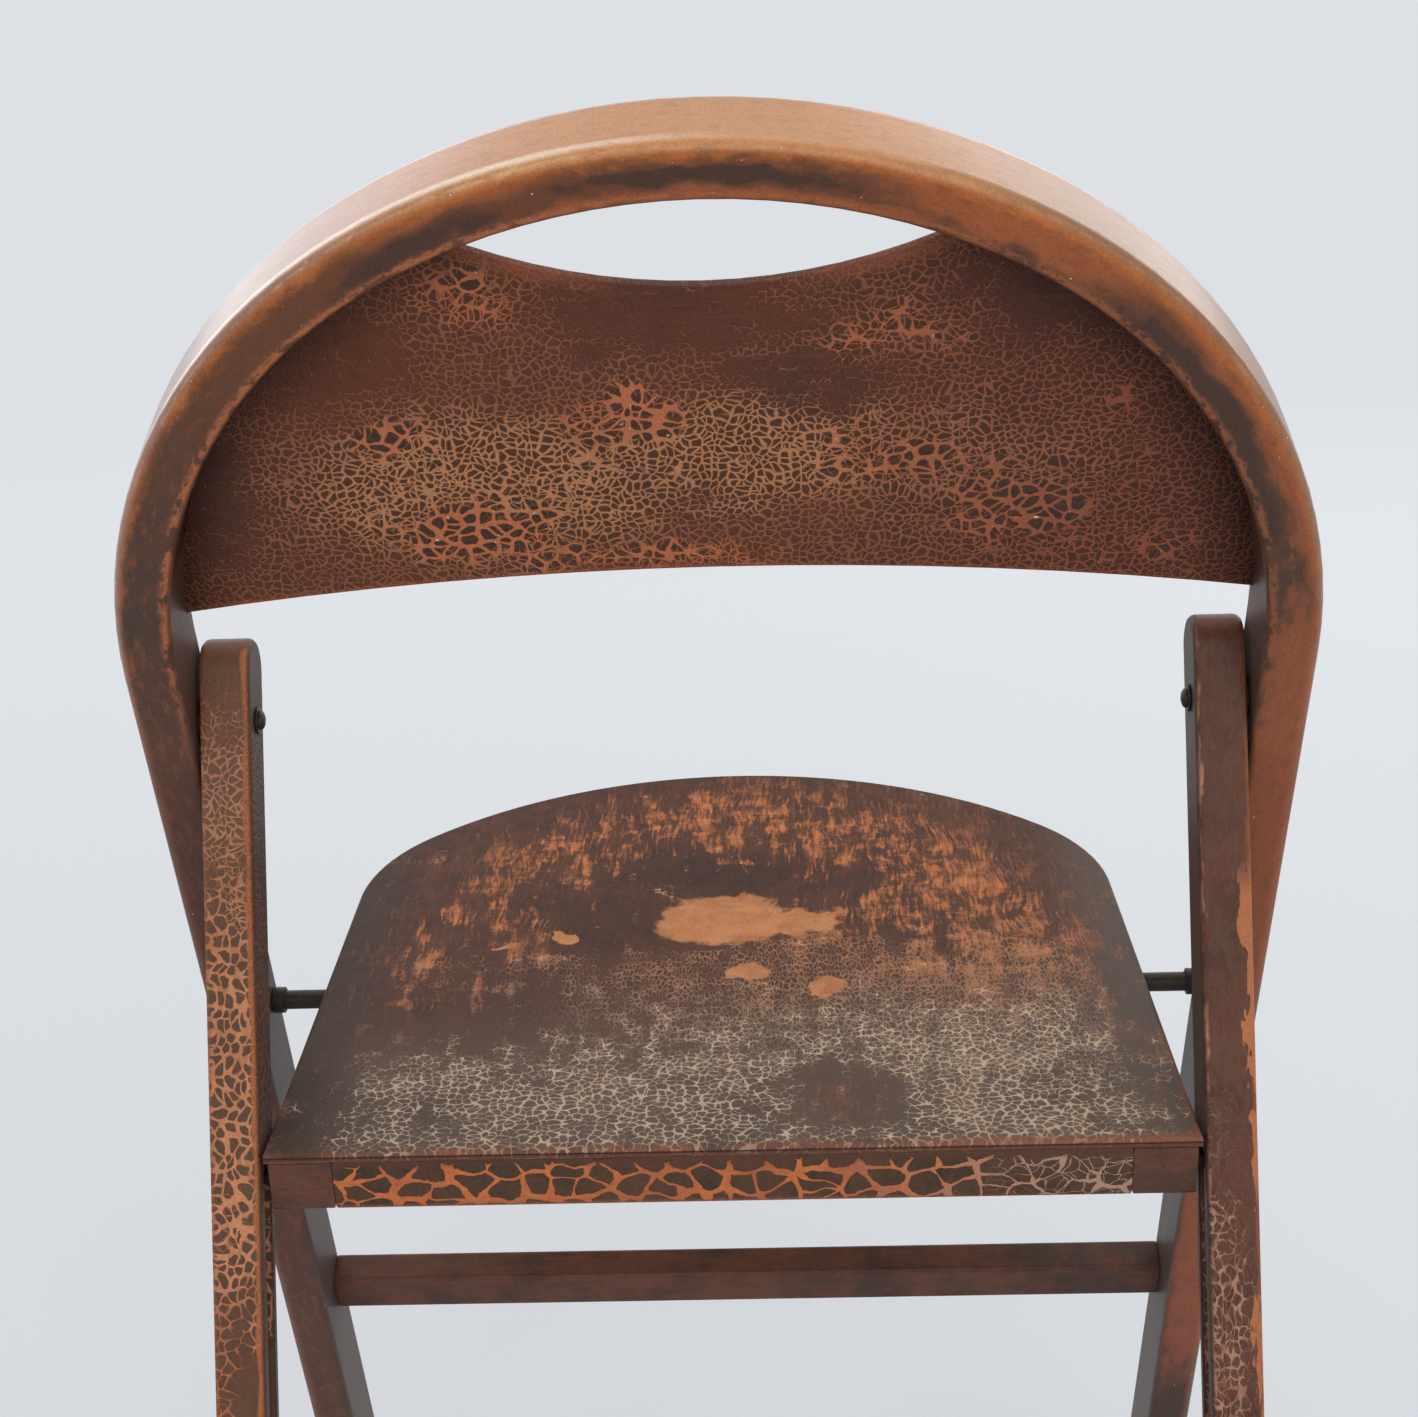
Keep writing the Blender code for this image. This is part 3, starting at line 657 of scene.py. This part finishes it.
        top_face = graph.mix(grain.smooth(0.45, 0.80) * 0.45, top_face, srgb(140, 92, 60))
        colour = graph.mix(outer * on_hoop, colour, top_face)
        # Light band on the rear and front arrises: rubbed edges with a painted highlight, palest at the left.
        edge = (rear_out + rub * 0.25).fade(0.0012, 0.0026)
        edge = edge | (front_out + rub * 0.4).fade(0.0016, 0.0040)
        edge_tone = graph.mix(left, srgb(196, 140, 86), srgb(226, 186, 140))
        edge_tone = graph.mix(high, srgb(176, 110, 70), edge_tone)
        colour = graph.mix(edge * on_hoop * 0.75, colour, edge_tone)
        # Painted highlight: a thin pale line along the outer face beside the rear arris, at the left.
        shine = abs(fore + half - self.shine_line).fade(0.0002, 0.0030) * outer * left
        shine = shine * along.fade(-0.24, -0.34) * (1.0 - (grain - 0.3) * 0.8)
        colour = graph.mix(shine * 0.8, colour, srgb(248, 226, 200))
        # The front legs' inner faces are greyed: a painted sheen. On the hoop the inner face keeps a plain
        # brown.
        inner = depth_in.smooth(self.thick - 0.0015, self.thick - 0.0003)
        colour = graph.mix(inner * (1.0 - on_hoop) * 0.7, colour, srgb(78, 70, 66))
        colour = graph.mix(inner * on_hoop * 0.8, colour, srgb(84, 56, 44))
        specks = graph.noise(place, 0.0015, detail=0.0, seed=17.0).smooth(0.86, 0.89)
        colour = graph.mix(specks * rear * 0.8, colour, CREAM)
        glossy = outer * on_hoop
        rough = graph.blend(glossy, 0.46, 0.30) + grain.sway(0.15)
        varnish = glossy * (0.6 - along.smooth(0.05, 0.20) * 0.45)
        height = grain + (1.0 - chips) * 0.5
        return Look(colour, rough, height, 0.00014, coat=varnish, specular=0.35)


@dataclass(frozen=True)
class SeatPaint(Finish):
    """Brushed wear, crackle towards the rear, a bare patch and a painted grey sheen at the rear, for the
    seat.
    """

    net: Crackle = Crackle(cell=0.0032, width=0.080, soft=0.060, stretch=(1.1, 0.95), knots=1.6, seed=61.0)
    wrinkle: Crackle = Crackle(cell=0.0023, width=0.13, soft=0.10, stretch=(0.75, 2.0), knots=0.0, seed=67.0)
    bare_spots: tuple[Spot, ...] = (
        (-0.004, 0.170, 0.042, 0.032, 1.0),
        (0.029, 0.167, 0.024, 0.016, 1.0),
        (0.007, 0.124, 0.013, 0.009, 0.9),
        (0.039, 0.110, 0.010, 0.012, 0.9),
        (-0.073, 0.157, 0.006, 0.008, 0.9),
        (-0.098, 0.150, 0.005, 0.005, 0.8),
    )
    dark_spots: tuple[Spot, ...] = (
        (-0.010, 0.212, 0.075, 0.034, 1.0),
        (-0.055, 0.170, 0.060, 0.050, 0.6),
        (-0.110, 0.110, 0.070, 0.060, 0.35),
        (0.062, 0.200, 0.024, 0.060, 0.6),
        (0.088, 0.150, 0.026, 0.040, 0.5),
    )
    calm_spots: tuple[Spot, ...] = (
        (0.043, 0.030, 0.040, 0.042, 0.9),
        (-0.110, 0.085, 0.070, 0.040, 0.35),
    )
    half: float = 0.1730
    thick: float = 0.0045
    arch_radii: tuple[float, float] = (0.150, 0.205)
    arch_middle: float = 0.10

    def look(self, graph: Graph) -> Look:
        """Layers from dark paint through brushed orange to bare tan wood.

        Args:
            graph: material to work in.

        Returns:
            The look.
        """
        place = graph.turned(-SEAT_TILT, SEAT_REAR)
        x, ahead, up = graph.axes(place)
        ragged = graph.wander(place, 0.010, 0.012)
        bent = graph.wander(place, 0.018, 0.005)
        fibre = graph.noise(bent, 0.0014, (1.0, 11.0, 1.0), detail=2.0, rough=0.65, seed=2.0)
        lane = graph.noise(bent, 0.0080, (1.0, 5.5, 1.0), detail=3.0, rough=0.65, seed=3.0)
        cross = graph.noise(bent, 0.0018, (7.0, 1.0, 1.0), detail=1.0, seed=5.0)
        broad = graph.noise(place, 0.040, detail=1.0, seed=8.0)
        patch = graph.noise(place, 0.012, detail=3.0, rough=0.65, seed=10.0)
        margin = (abs(x) + patch.sway(0.02)).smooth(0.132, 0.164)
        # Painted sheen: the rear of the seat is mixed towards grey, standing in for a grey reflection there.
        rear = (ahead + broad.sway(0.06)).fade(0.00, 0.13)
        paint = graph.mix(patch.smooth(0.30, 0.70), srgb(86, 54, 41), srgb(66, 46, 37))
        paint = graph.mix(fibre.smooth(0.45, 0.75) * 0.45, paint, srgb(104, 64, 45))
        paint = graph.mix(rear * 0.85, paint, srgb(87, 72, 62))
        sides = graph.mix(x.smooth(0.02, 0.14), srgb(62, 50, 43), srgb(88, 76, 68))
        paint = graph.mix(margin * 0.8, paint, sides)
        dark = graph.spots(ragged, self.dark_spots, "xy")
        paint = graph.mix(dark * 0.6, paint, srgb(54, 40, 33))
        wide, long = self.arch_radii
        arch_ahead = (ahead - self.arch_middle) * (1.0 / long)
        reach = graph.length(graph.combine(x * (1.0 / wide), arch_ahead, 0.0))
        arch = reach + patch.sway(0.25)
        begins = graph.blend(x.smooth(-0.02, 0.06), 0.62, 0.40)
        worn = arch.smooth(begins - 0.12, begins + 0.12) * arch.fade(0.92, 1.10) * ahead.smooth(0.07, 0.15)
        rub = worn * 0.36 - dark * 0.45 + fibre.sway(1.6) + patch.sway(2.2) + lane.sway(2.9)
        rub = rub + broad.sway(1.2) - x.smooth(0.00, -0.05) * 0.06 + x.smooth(0.05, 0.11) * 0.15
        rub = (rub + cross.sway(0.5)).smooth(0.05, 0.95) * (0.25 + worn * 0.75)
        warm = graph.mix((fibre + patch - 0.6).smooth(0.15, 0.75), srgb(124, 71, 46), srgb(194, 118, 70))
        colour = graph.mix(rub, paint, warm)
        across, along, _ = graph.axes(graph.wander(graph.warped(place), 0.0012, 0.0008))
        calm = graph.spots(graph.wander(ragged, 0.004, 0.006), self.calm_spots, "xy")
        wavy = ahead + broad.sway(0.07) + patch.sway(0.03) - x.smooth(-0.05, 0.10) * 0.022
        rearward = wavy.fade(0.025, 0.130)
        net_here = rearward * 0.85 + patch.sway(2.2) + broad.sway(0.9) + lane.sway(1.2)
        net_here = net_here - calm - margin * 0.6
        net = self.net.lay(graph, across, along, net_here.smooth(0.0, 1.0)).cover
        middle = ahead.smooth(0.01, 0.06) * ahead.fade(0.13, 0.19) * (1.0 - margin * 0.8)
        wrinkled = middle * 0.8 + patch.sway(1.8) + lane.sway(1.0) + x.smooth(-0.06, 0.10) * 0.25
        wrinkled = (wrinkled - calm - dark * 0.6).smooth(0.15, 1.1)
        fine = self.wrinkle.lay(graph, across, along, wrinkled).cover
        farther = (ahead + broad.sway(0.06)).smooth(0.07, 0.18)
        pale = graph.mix(farther, BEIGE, srgb(186, 142, 110))
        mist = rearward * (patch * 0.6 + broad * 0.6 - 0.2).smooth(0.1, 0.8)
        mist = mist * (1.0 - calm * 0.8) * (1.0 - margin * 0.6)
        colour = graph.mix(mist * 0.50, colour, srgb(136, 118, 102))
        dust = graph.mix(farther, srgb(150, 124, 102), srgb(170, 116, 82))
        colour = graph.mix((1.0 - fine) * 0.75, colour, dust)
        colour = graph.mix((1.0 - net) * (0.15 + patch * 0.8 + lane * 0.8), colour, pale)
        bare = graph.spots(graph.wander(ragged, 0.003, 0.004), self.bare_spots, "xy") + patch.sway(0.7)
        bare = bare.smooth(0.18, 0.42)
        wood = graph.mix(patch.smooth(0.35, 0.65), srgb(188, 128, 86), srgb(172, 112, 74))
        colour = graph.mix(bare, colour, wood)
        rim = (self.half - abs(x) + fibre.sway(0.004)).fade(0.001, 0.004)
        rim = rim | (ahead + patch.sway(0.005)).fade(0.0005, 0.0035)
        colour = graph.mix(rim * (patch + broad - 0.5).smooth(0.25, 0.7) * 0.75, colour, srgb(140, 84, 62))
        side = (up + 0.0018).fade(-0.0006, 0.0)
        colour = graph.mix(side * 0.7, colour, srgb(90, 56, 44))
        ply = abs(up + 0.0026 + patch.sway(0.0006)).smooth(0.0002, 0.0005)
        colour = graph.shade(colour, 1.0 - (1.0 - ply) * side * 0.6)
        under = (up + self.thick).smooth(0.0008, 0.0004)
        raw = graph.mix(fibre.smooth(0.35, 0.70), srgb(104, 70, 50), srgb(128, 90, 64))
        raw = graph.mix((patch + broad - 0.5).smooth(0.35, 0.70) * 0.7, raw, srgb(82, 56, 43))
        colour = graph.mix(under, colour, raw)
        rough = graph.blend(bare, 0.50, 0.62) + patch.sway(0.2)
        return Look(colour, rough, (net & fine) + fibre * 0.25, 0.00020, specular=0.14)


@dataclass(frozen=True)
class RailPaint(Finish):
    """Large cells over bright orange, for the seat's rear rail."""

    wide: Crackle = Crackle(cell=0.0095, width=0.078, soft=0.022, stretch=(1.2, 0.85), knots=1.9, seed=71.0)
    small: Crackle = Crackle(cell=0.0048, width=0.050, soft=0.035, stretch=(1.2, 0.85), knots=0.0, seed=73.0)
    under: float = 0.0262

    def look(self, graph: Graph) -> Look:
        """Wide cracks at the left that thin out and pale towards the right.

        Args:
            graph: material to work in.

        Returns:
            The look.
        """
        place = graph.turned(-SEAT_TILT, SEAT_REAR)
        x, ahead, up = graph.axes(place)
        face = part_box("seat_rear_rail")[0].y - SEAT_REAR.y
        rear_face = (ahead - face).fade(0.0012, 0.0026)
        patch = graph.noise(place, 0.020, detail=2.0, seed=3.0)
        fleck = graph.noise(place, 0.0020, detail=2.0, rough=0.7, seed=6.0)
        across, _, along = graph.axes(graph.warped(place))
        right = (x + patch.sway(0.07)).smooth(0.040, 0.140)
        top_band = (up + patch.sway(0.005)).smooth(-0.0095, -0.0060)
        strength = (1.0 - top_band * 0.9) * (1.0 - right * 0.45) * (0.5 + patch)
        wide = self.wide.lay(graph, across, along, strength)
        small_open = (right * 0.9 + (patch - 0.45) * 1.6).smooth(0.0, 1.0) * (1.0 - top_band)
        small = self.small.lay(graph, across, along, small_open)
        cover = wide.cover & small.cover | (1.0 - rear_face)
        paint = graph.mix(patch.smooth(0.35, 0.65), srgb(62, 50, 38), srgb(84, 58, 44))
        paint = graph.mix(wide.tone * 0.5, paint, srgb(88, 64, 46))
        paint = graph.mix(fleck.smooth(0.50, 0.75) * 0.4, paint, srgb(112, 72, 52))
        ground = graph.mix(patch.smooth(0.30, 0.70), srgb(194, 110, 64), srgb(166, 94, 60))
        ground = graph.mix(right * 0.85, ground, srgb(166, 140, 120))
        colour = graph.mix(cover, ground, paint)
        colour = graph.mix(top_band * 0.75, colour, srgb(92, 58, 45))
        low_rim = (up + self.under + fleck.sway(0.003)).fade(0.0005, 0.0025)
        colour = graph.mix(low_rim * 0.7 * (1.0 - right), colour, srgb(150, 86, 58))
        return Look(colour, graph.blend(cover, 0.6, 0.42), cover, 0.0005, specular=0.3)


class Side(Enum):
    """Left or right of the chair, seen from behind."""

    LEFT = -1.0
    RIGHT = 1.0


@dataclass(frozen=True)
class LegPaint(Finish):
    """Crackle that grows down the leg, with orange worn arrises."""

    side: Side = Side.LEFT
    outer: float = 0.1936
    width: float = 0.0192
    depth: float = 0.0240
    left_nets: tuple[Crackle, Crackle] = (
        Crackle(cell=0.0027, width=0.14, soft=0.09, stretch=(0.95, 1.2), knots=0.0, seed=87.0),
        Crackle(cell=0.0042, width=0.16, soft=0.06, stretch=(0.95, 1.15), knots=1.3, seed=81.0),
    )
    right_nets: tuple[Crackle, Crackle] = (
        Crackle(cell=0.0022, width=0.12, soft=0.10, stretch=(0.70, 2.0), knots=0.0, seed=87.0),
        Crackle(cell=0.0029, width=0.12, soft=0.08, stretch=(0.80, 1.7), knots=1.2, seed=81.0),
    )

    def look(self, graph: Graph) -> Look:
        """Left leg in large cells on orange, right leg mostly whole with worn edges.

        Args:
            graph: material to work in.

        Returns:
            The look.
        """
        place = graph.turned(LEG_SLANT, PIVOT)
        x, fore, up = graph.axes(place)
        down = -up
        broad = graph.noise(place, 0.030, detail=1.0, seed=2.0)
        grain = graph.noise(place, 0.0030, (1.0, 1.0, 4.0), detail=3.0, rough=0.65, seed=3.0)
        bent_x, bent_fore, along = graph.axes(graph.warped(place))
        across = bent_x + bent_fore
        inward = self.outer - abs(x)
        out_rear = graph.length(graph.combine(inward, fore + self.depth / 2.0, 0.0))
        in_rear = graph.length(graph.combine(inward - self.width, fore + self.depth / 2.0, 0.0))
        if self.side is Side.LEFT:
            grown = (down + broad.sway(0.10)).smooth(0.020, 0.110)
            shown = (down + broad.sway(0.04)).smooth(-0.040, 0.020)
            low = (down + broad.sway(0.16)).smooth(0.200, 0.260)
            calm = low * (0.35 + inward.smooth(0.004, 0.012) * 0.65)
            paint = graph.mix(grown, srgb(108, 74, 56), srgb(86, 63, 49))
            paint = graph.mix(low * 0.8, paint, srgb(98, 62, 47))
            ground = graph.mix(grown, srgb(170, 120, 92), srgb(194, 130, 94))
            ground = graph.mix((grain + broad - 0.5).smooth(0.3, 0.8) * 0.6, ground, srgb(150, 94, 66))
            ground = graph.mix(low * 0.7, ground, srgb(150, 92, 62))
            rubbed = (in_rear + broad.sway(0.006)).fade(0.0006, 0.0050)
            opened = shown * (1.0 - calm * 0.9)
            small, large = self.left_nets
            small_open = opened * (1.0 - (grown * 1.2 + broad.sway(3.5)).smooth(0.3, 1.2) * 0.85)
        else:
            grown = (down + broad.sway(0.14)).smooth(0.080, 0.230)
            fissure = graph.noise(place, 0.0012, (1.0, 1.0, 7.0), detail=1.0, seed=7.0)
            shown = grown * (0.45 + inward.smooth(0.004, 0.009) * 0.55)
            paint = graph.mix(broad.smooth(0.35, 0.65), srgb(94, 56, 44), srgb(80, 49, 39))
            paint = graph.mix(fissure.smooth(0.55, 0.80) * 0.40, paint, srgb(122, 78, 62))
            ground = graph.mix(grain.smooth(0.4, 0.6), srgb(138, 94, 74), srgb(170, 130, 106))
            torn = graph.noise(place, 0.0090, (1.0, 1.0, 3.0), detail=3.0, rough=0.65, seed=11.0)
            wavy = inward + grain.sway(0.006) + torn.sway(0.026)
            strip = wavy.smooth(0.0046, 0.0026) * down.smooth(0.03, 0.10)
            strip = strip * (down + broad.sway(0.06)).fade(0.150, 0.195)
            low_strip = (wavy + 0.002).smooth(0.0036, 0.0014) * down.smooth(0.16, 0.22)
            near_rear = (fore + self.depth / 2.0).smooth(0.0080, 0.0030)
            chips = (torn * 0.5 + grain * 0.5).smooth(0.62, 0.68)
            rubbed = (strip | low_strip) * near_rear | chips
            opened = shown
            small, large = self.right_nets
            small_open = opened * (1.0 - grown * 0.5)
        cells = large.lay(graph, across, along, opened * grown)
        cover = small.lay(graph, across, along, small_open).cover & cells.cover
        paint = graph.mix(cells.tone * 0.45, paint, srgb(100, 74, 56))
        colour = graph.mix(cover, ground, paint)
        colour = graph.mix(grain.smooth(0.50, 0.80) * 0.3, colour, RED_BROWN)
        worn = (rubbed + grain.sway(0.4)).smooth(0.30, 0.75)
        tone = srgb(168, 100, 62) if self.side is Side.LEFT else srgb(182, 112, 72)
        colour = graph.mix(worn * 0.9, colour, tone)
        if self.side is Side.RIGHT:
            line = (in_rear + grain.sway(0.007)).fade(0.0002, 0.0020)
            colour = graph.mix(line * 0.85, colour, srgb(192, 136, 106))
        inner_face = (self.width - inward).smooth(0.0016, 0.0004)
        colour = graph.mix(inner_face * 0.85, colour, srgb(62, 49, 43))
        sharp = (out_rear + grain.sway(0.003)).fade(0.0008, 0.0026)
        colour = graph.mix(sharp * 0.35, colour, tone)
        return Look(colour, graph.blend(cover, 0.6, 0.44), cover + grain * 0.2, 0.00030, specular=0.28)


@dataclass(frozen=True)
class PlainPaint(Finish):
    """Mostly whole dark paint with rubbed patches, for stretchers and side rails."""

    seed: float = 0.0
    warm: float = 0.5

    def look(self, graph: Graph) -> Look:
        """Brown paint with reddish rubbing along the grain.

        Args:
            graph: material to work in.

        Returns:
            The look.
        """
        place = graph.place
        broad = graph.noise(place, 0.05, detail=1.0, seed=self.seed)
        grain = graph.noise(place, 0.0030, (6.0, 1.0, 1.0), detail=2.0, rough=0.7, seed=self.seed + 3.0)
        paint = graph.mix(broad.smooth(0.35, 0.65), srgb(72, 52, 43), srgb(84, 57, 46))
        patch = graph.noise(place, 0.009, detail=3.0, rough=0.65, seed=self.seed + 6.0)
        red = (grain.sway(0.6) + (patch - 0.5) + broad - 0.5 + self.warm * 0.3).smooth(0.05, 0.55)
        colour = graph.mix(red * 0.6, paint, srgb(116, 70, 52))
        return Look(colour, 0.46 + grain.sway(0.2), grain, 0.00015, specular=0.35)


@dataclass(frozen=True)
class AgedIron(Finish):
    """Dark iron with a little rust."""

    def look(self, graph: Graph) -> Look:
        """Near-black metal, browner in patches."""
        rust = graph.noise(graph.place, 0.003, detail=2.0, rough=0.7).smooth(0.5, 0.75)
        colour = graph.mix(rust * 0.6, IRON_DARK, IRON_RUST)
        return Look(colour, 0.42 + rust * 0.3, rust, 0.0001, metallic=0.5)


def smooth_copy(node: str, sharp_degrees: float = 32.0) -> bpy.types.Object:
    """Merged copy of a CAD node with smooth shading.

    Args:
        node: name of the CAD node.
        sharp_degrees: edges that turn more than this stay sharp.

    Returns:
        The new object, at the origin, its place in its mesh.
    """
    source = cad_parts[node]
    bm = bmesh.new()
    bm.from_mesh(source.data)
    bmesh.ops.remove_doubles(bm, verts=bm.verts[:], dist=0.00001)
    bmesh.ops.dissolve_limit(
        bm, angle_limit=math.radians(0.3), verts=bm.verts[:], edges=bm.edges[:], use_dissolve_boundaries=False
    )
    mesh = bpy.data.meshes.new(node + "_dressed")
    bm.to_mesh(mesh)
    bm.free()
    mesh.materials.clear()
    for polygon in mesh.polygons:
        polygon.use_smooth = True
        polygon.material_index = 0
    mesh.set_sharp_from_angle(angle=math.radians(sharp_degrees))
    piece = bpy.data.objects.new(node + "_dressed", mesh)
    bpy.context.scene.collection.objects.link(piece)
    weigh = piece.modifiers.new("even_normals", "WEIGHTED_NORMAL")
    weigh.keep_sharp = True
    return piece


@dataclass
class Assembly:
    """Pieces of one rigid body and the finish of each."""

    body: Body

    def finishes(self) -> dict[str, Finish]:
        """Node name to finish. Each assembly replaces this."""
        raise NotImplementedError

    def build(self) -> list[bpy.types.Object]:
        """Make, dress and place every piece on its body."""
        made = []
        materials: dict[Finish, bpy.types.Material] = {}
        for node, finish in self.finishes().items():
            piece = smooth_copy(node)
            if finish not in materials:
                materials[finish] = finish.material()
            piece.data.materials.append(materials[finish])
            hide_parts(node)
            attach(piece, self.body.value)
            LOG.info("%s: %s", piece.name, finish.name)
            made.append(piece)
        return made


@dataclass
class HoopFrame(Assembly):
    """Bent hoop with its panel, stretcher, rod and fasteners."""

    body: Body = Body.FRAME

    def finishes(self) -> dict[str, Finish]:
        """Finish of each node of the standing frame."""
        iron = AgedIron("aged_iron")
        table: dict[str, Finish] = {
            "hoop_frame": HoopPaint("hoop_paint"),
            "back_panel": PanelPaint("panel_paint"),
            "front_stretcher": PlainPaint("front_stretcher_paint", 2.0, 0.9),
            "pivot_rod": iron,
        }
        for side in ("left", "right"):
            for fitting in ("rod_washer", "leg_rivet", "rivet_washer", "leg_spacer"):
                table[f"{fitting}_{side}"] = iron
        return table


@dataclass
class RearLegs(Assembly):
    """Two rear legs and their stretcher."""

    body: Body = Body.LEGS

    def finishes(self) -> dict[str, Finish]:
        """Finish of each node of the rear legs."""
        return {
            "rear_leg_left": LegPaint("left_leg_paint", Side.LEFT),
            "rear_leg_right": LegPaint("right_leg_paint", Side.RIGHT),
            "rear_stretcher": PlainPaint("rear_stretcher_paint", 7.0, 0.4),
        }


@dataclass
class Seat(Assembly):
    """Plywood seat, its rails and its slide pins."""

    body: Body = Body.SEAT

    def finishes(self) -> dict[str, Finish]:
        """Finish of each node of the seat."""
        plain = PlainPaint("seat_rail_paint", 11.0, 0.45)
        iron = AgedIron("pin_iron")
        return {
            "seat_panel": SeatPaint("seat_paint"),
            "seat_rear_rail": RailPaint("rear_rail_paint"),
            "seat_front_rail": plain,
            "seat_rail_left": plain,
            "seat_rail_right": plain,
            "slide_pin_left": iron,
            "slide_pin_right": iron,
        }


@dataclass(frozen=True)
class Lamp:
    """A soft rectangular lamp that looks at a point."""

    name: str
    place: Colour
    aim: Colour
    size: tuple[float, float]
    power: float
    tint: Colour = (1.0, 1.0, 1.0)

    def hang(self) -> None:
        """Put the lamp in the scene."""
        data = bpy.data.lights.new(self.name, "AREA")
        data.shape = "RECTANGLE"
        data.size, data.size_y = self.size
        data.energy = self.power
        data.color = self.tint
        lamp = bpy.data.objects.new(self.name, data)
        lamp.location = self.place
        lamp.rotation_euler = (Vector(self.aim) - Vector(self.place)).to_track_quat("-Z", "Y").to_euler()
        bpy.context.scene.collection.objects.link(lamp)


@dataclass
class Studio:
    """Pale floor and an even backdrop, soft lamps, and the camera."""

    floor_half: float = 60.0
    floor_colour: Colour = srgb(214, 217, 221)
    world_light: Colour = (0.638, 0.652, 0.680)
    fade: tuple[float, float] = (1.6, 3.2)
    backdrop: Colour = srgb(221, 224, 229)
    camera_place: Colour = (0.01943, -0.77679, 0.90921)
    pitch: float = math.radians(22.148)
    yaw: float = math.radians(-1.736)
    roll: float = math.radians(-2.036)
    focal_pixels: float = 2261.5
    image_width: float = 1418.0

    def floor(self) -> None:
        """Flat floor that shows the backdrop's tone far from the chair."""
        bm = bmesh.new()
        bmesh.ops.create_grid(bm, x_segments=1, y_segments=1, size=1.0)
        bmesh.ops.scale(bm, vec=(self.floor_half, self.floor_half, 1.0), verts=bm.verts[:])
        mesh = bpy.data.meshes.new("floor")
        bm.to_mesh(mesh)
        bm.free()
        sheet = bpy.data.objects.new("floor", mesh)
        bpy.context.scene.collection.objects.link(sheet)
        material = bpy.data.materials.new("floor_paper")
        graph = Graph(material)
        across, along, _ = graph.axes(graph.place)
        far = graph.length(graph.combine(across, along, 0.0)).smooth(*self.fade)
        far = far * graph.seen()
        paper = graph.mix(far, self.floor_colour, (0.0, 0.0, 0.0))
        glow = graph.mix(far, (0.0, 0.0, 0.0), self.backdrop)
        graph.finish(Look(paper, 0.9, specular=0.0, grit=0.0, emission=glow))
        mesh.materials.append(material)

    def world(self) -> None:
        """Even pale surround."""
        world = bpy.data.worlds.new("surround")
        bpy.context.scene.world = world
        graph = Graph(world)
        colour = graph.mix(graph.seen(), self.world_light, self.backdrop)
        background = graph.node("ShaderNodeBackground", {}, {"Color": colour, "Strength": 1.0})
        graph.node("ShaderNodeOutputWorld", {}, {"Surface": background.outputs[0]})

    def lamps(self) -> None:
        """Large soft lamps."""
        for lamp in (
            Lamp("window_right", (1.8, 2.7, 1.75), (0.0, 0.0, 0.65), (2.6, 2.0), 30.0, (1.0, 0.96, 0.88)),
            Lamp("window_left", (-1.8, 2.7, 1.65), (0.0, 0.0, 0.65), (2.6, 2.0), 22.0, (1.0, 0.96, 0.96)),
            Lamp("overhead", (0.0, 0.6, 2.9), (0.0, 0.0, 0.6), (2.6, 1.8), 14.0, (1.0, 0.98, 0.95)),
            Lamp("behind_camera", (0.5, -2.8, 1.9), (0.0, 0.0, 0.55), (3.0, 2.0), 34.0, (1.0, 0.97, 0.93)),
        ):
            lamp.hang()

    def camera(self) -> None:
        """Camera at the photograph's place."""
        data = bpy.data.cameras.new("camera")
        data.sensor_width = 36.0
        data.sensor_fit = "HORIZONTAL"
        data.lens = self.focal_pixels * data.sensor_width / self.image_width
        data.clip_start = 0.02
        view = Vector(
            (
                math.sin(self.yaw) * math.cos(self.pitch),
                math.cos(self.yaw) * math.cos(self.pitch),
                -math.sin(self.pitch),
            )
        )
        level = Vector((math.cos(self.yaw), -math.sin(self.yaw), 0.0))
        upward = level.cross(view)
        right = level * math.cos(self.roll) + upward * math.sin(self.roll)
        top = upward * math.cos(self.roll) - level * math.sin(self.roll)
        camera = bpy.data.objects.new("camera", data)
        turn = Matrix((right, top, -view)).transposed()
        camera.matrix_world = Matrix.Translation(Vector(self.camera_place)) @ turn.to_4x4()
        bpy.context.scene.collection.objects.link(camera)
        bpy.context.scene.camera = camera

    def build(self) -> None:
        """Set the whole studio."""
        self.floor()
        self.world()
        self.lamps()
        self.camera()
        bpy.context.scene.view_settings.view_transform = "Standard"


def main() -> None:
    """Build the chair and the studio."""
    logging.basicConfig(level=logging.INFO, format="%(name)s %(message)s")
    for assembly in (HoopFrame(), RearLegs(), Seat()):
        assembly.build()
    Studio().build()


if __name__ == "__main__":
    main()
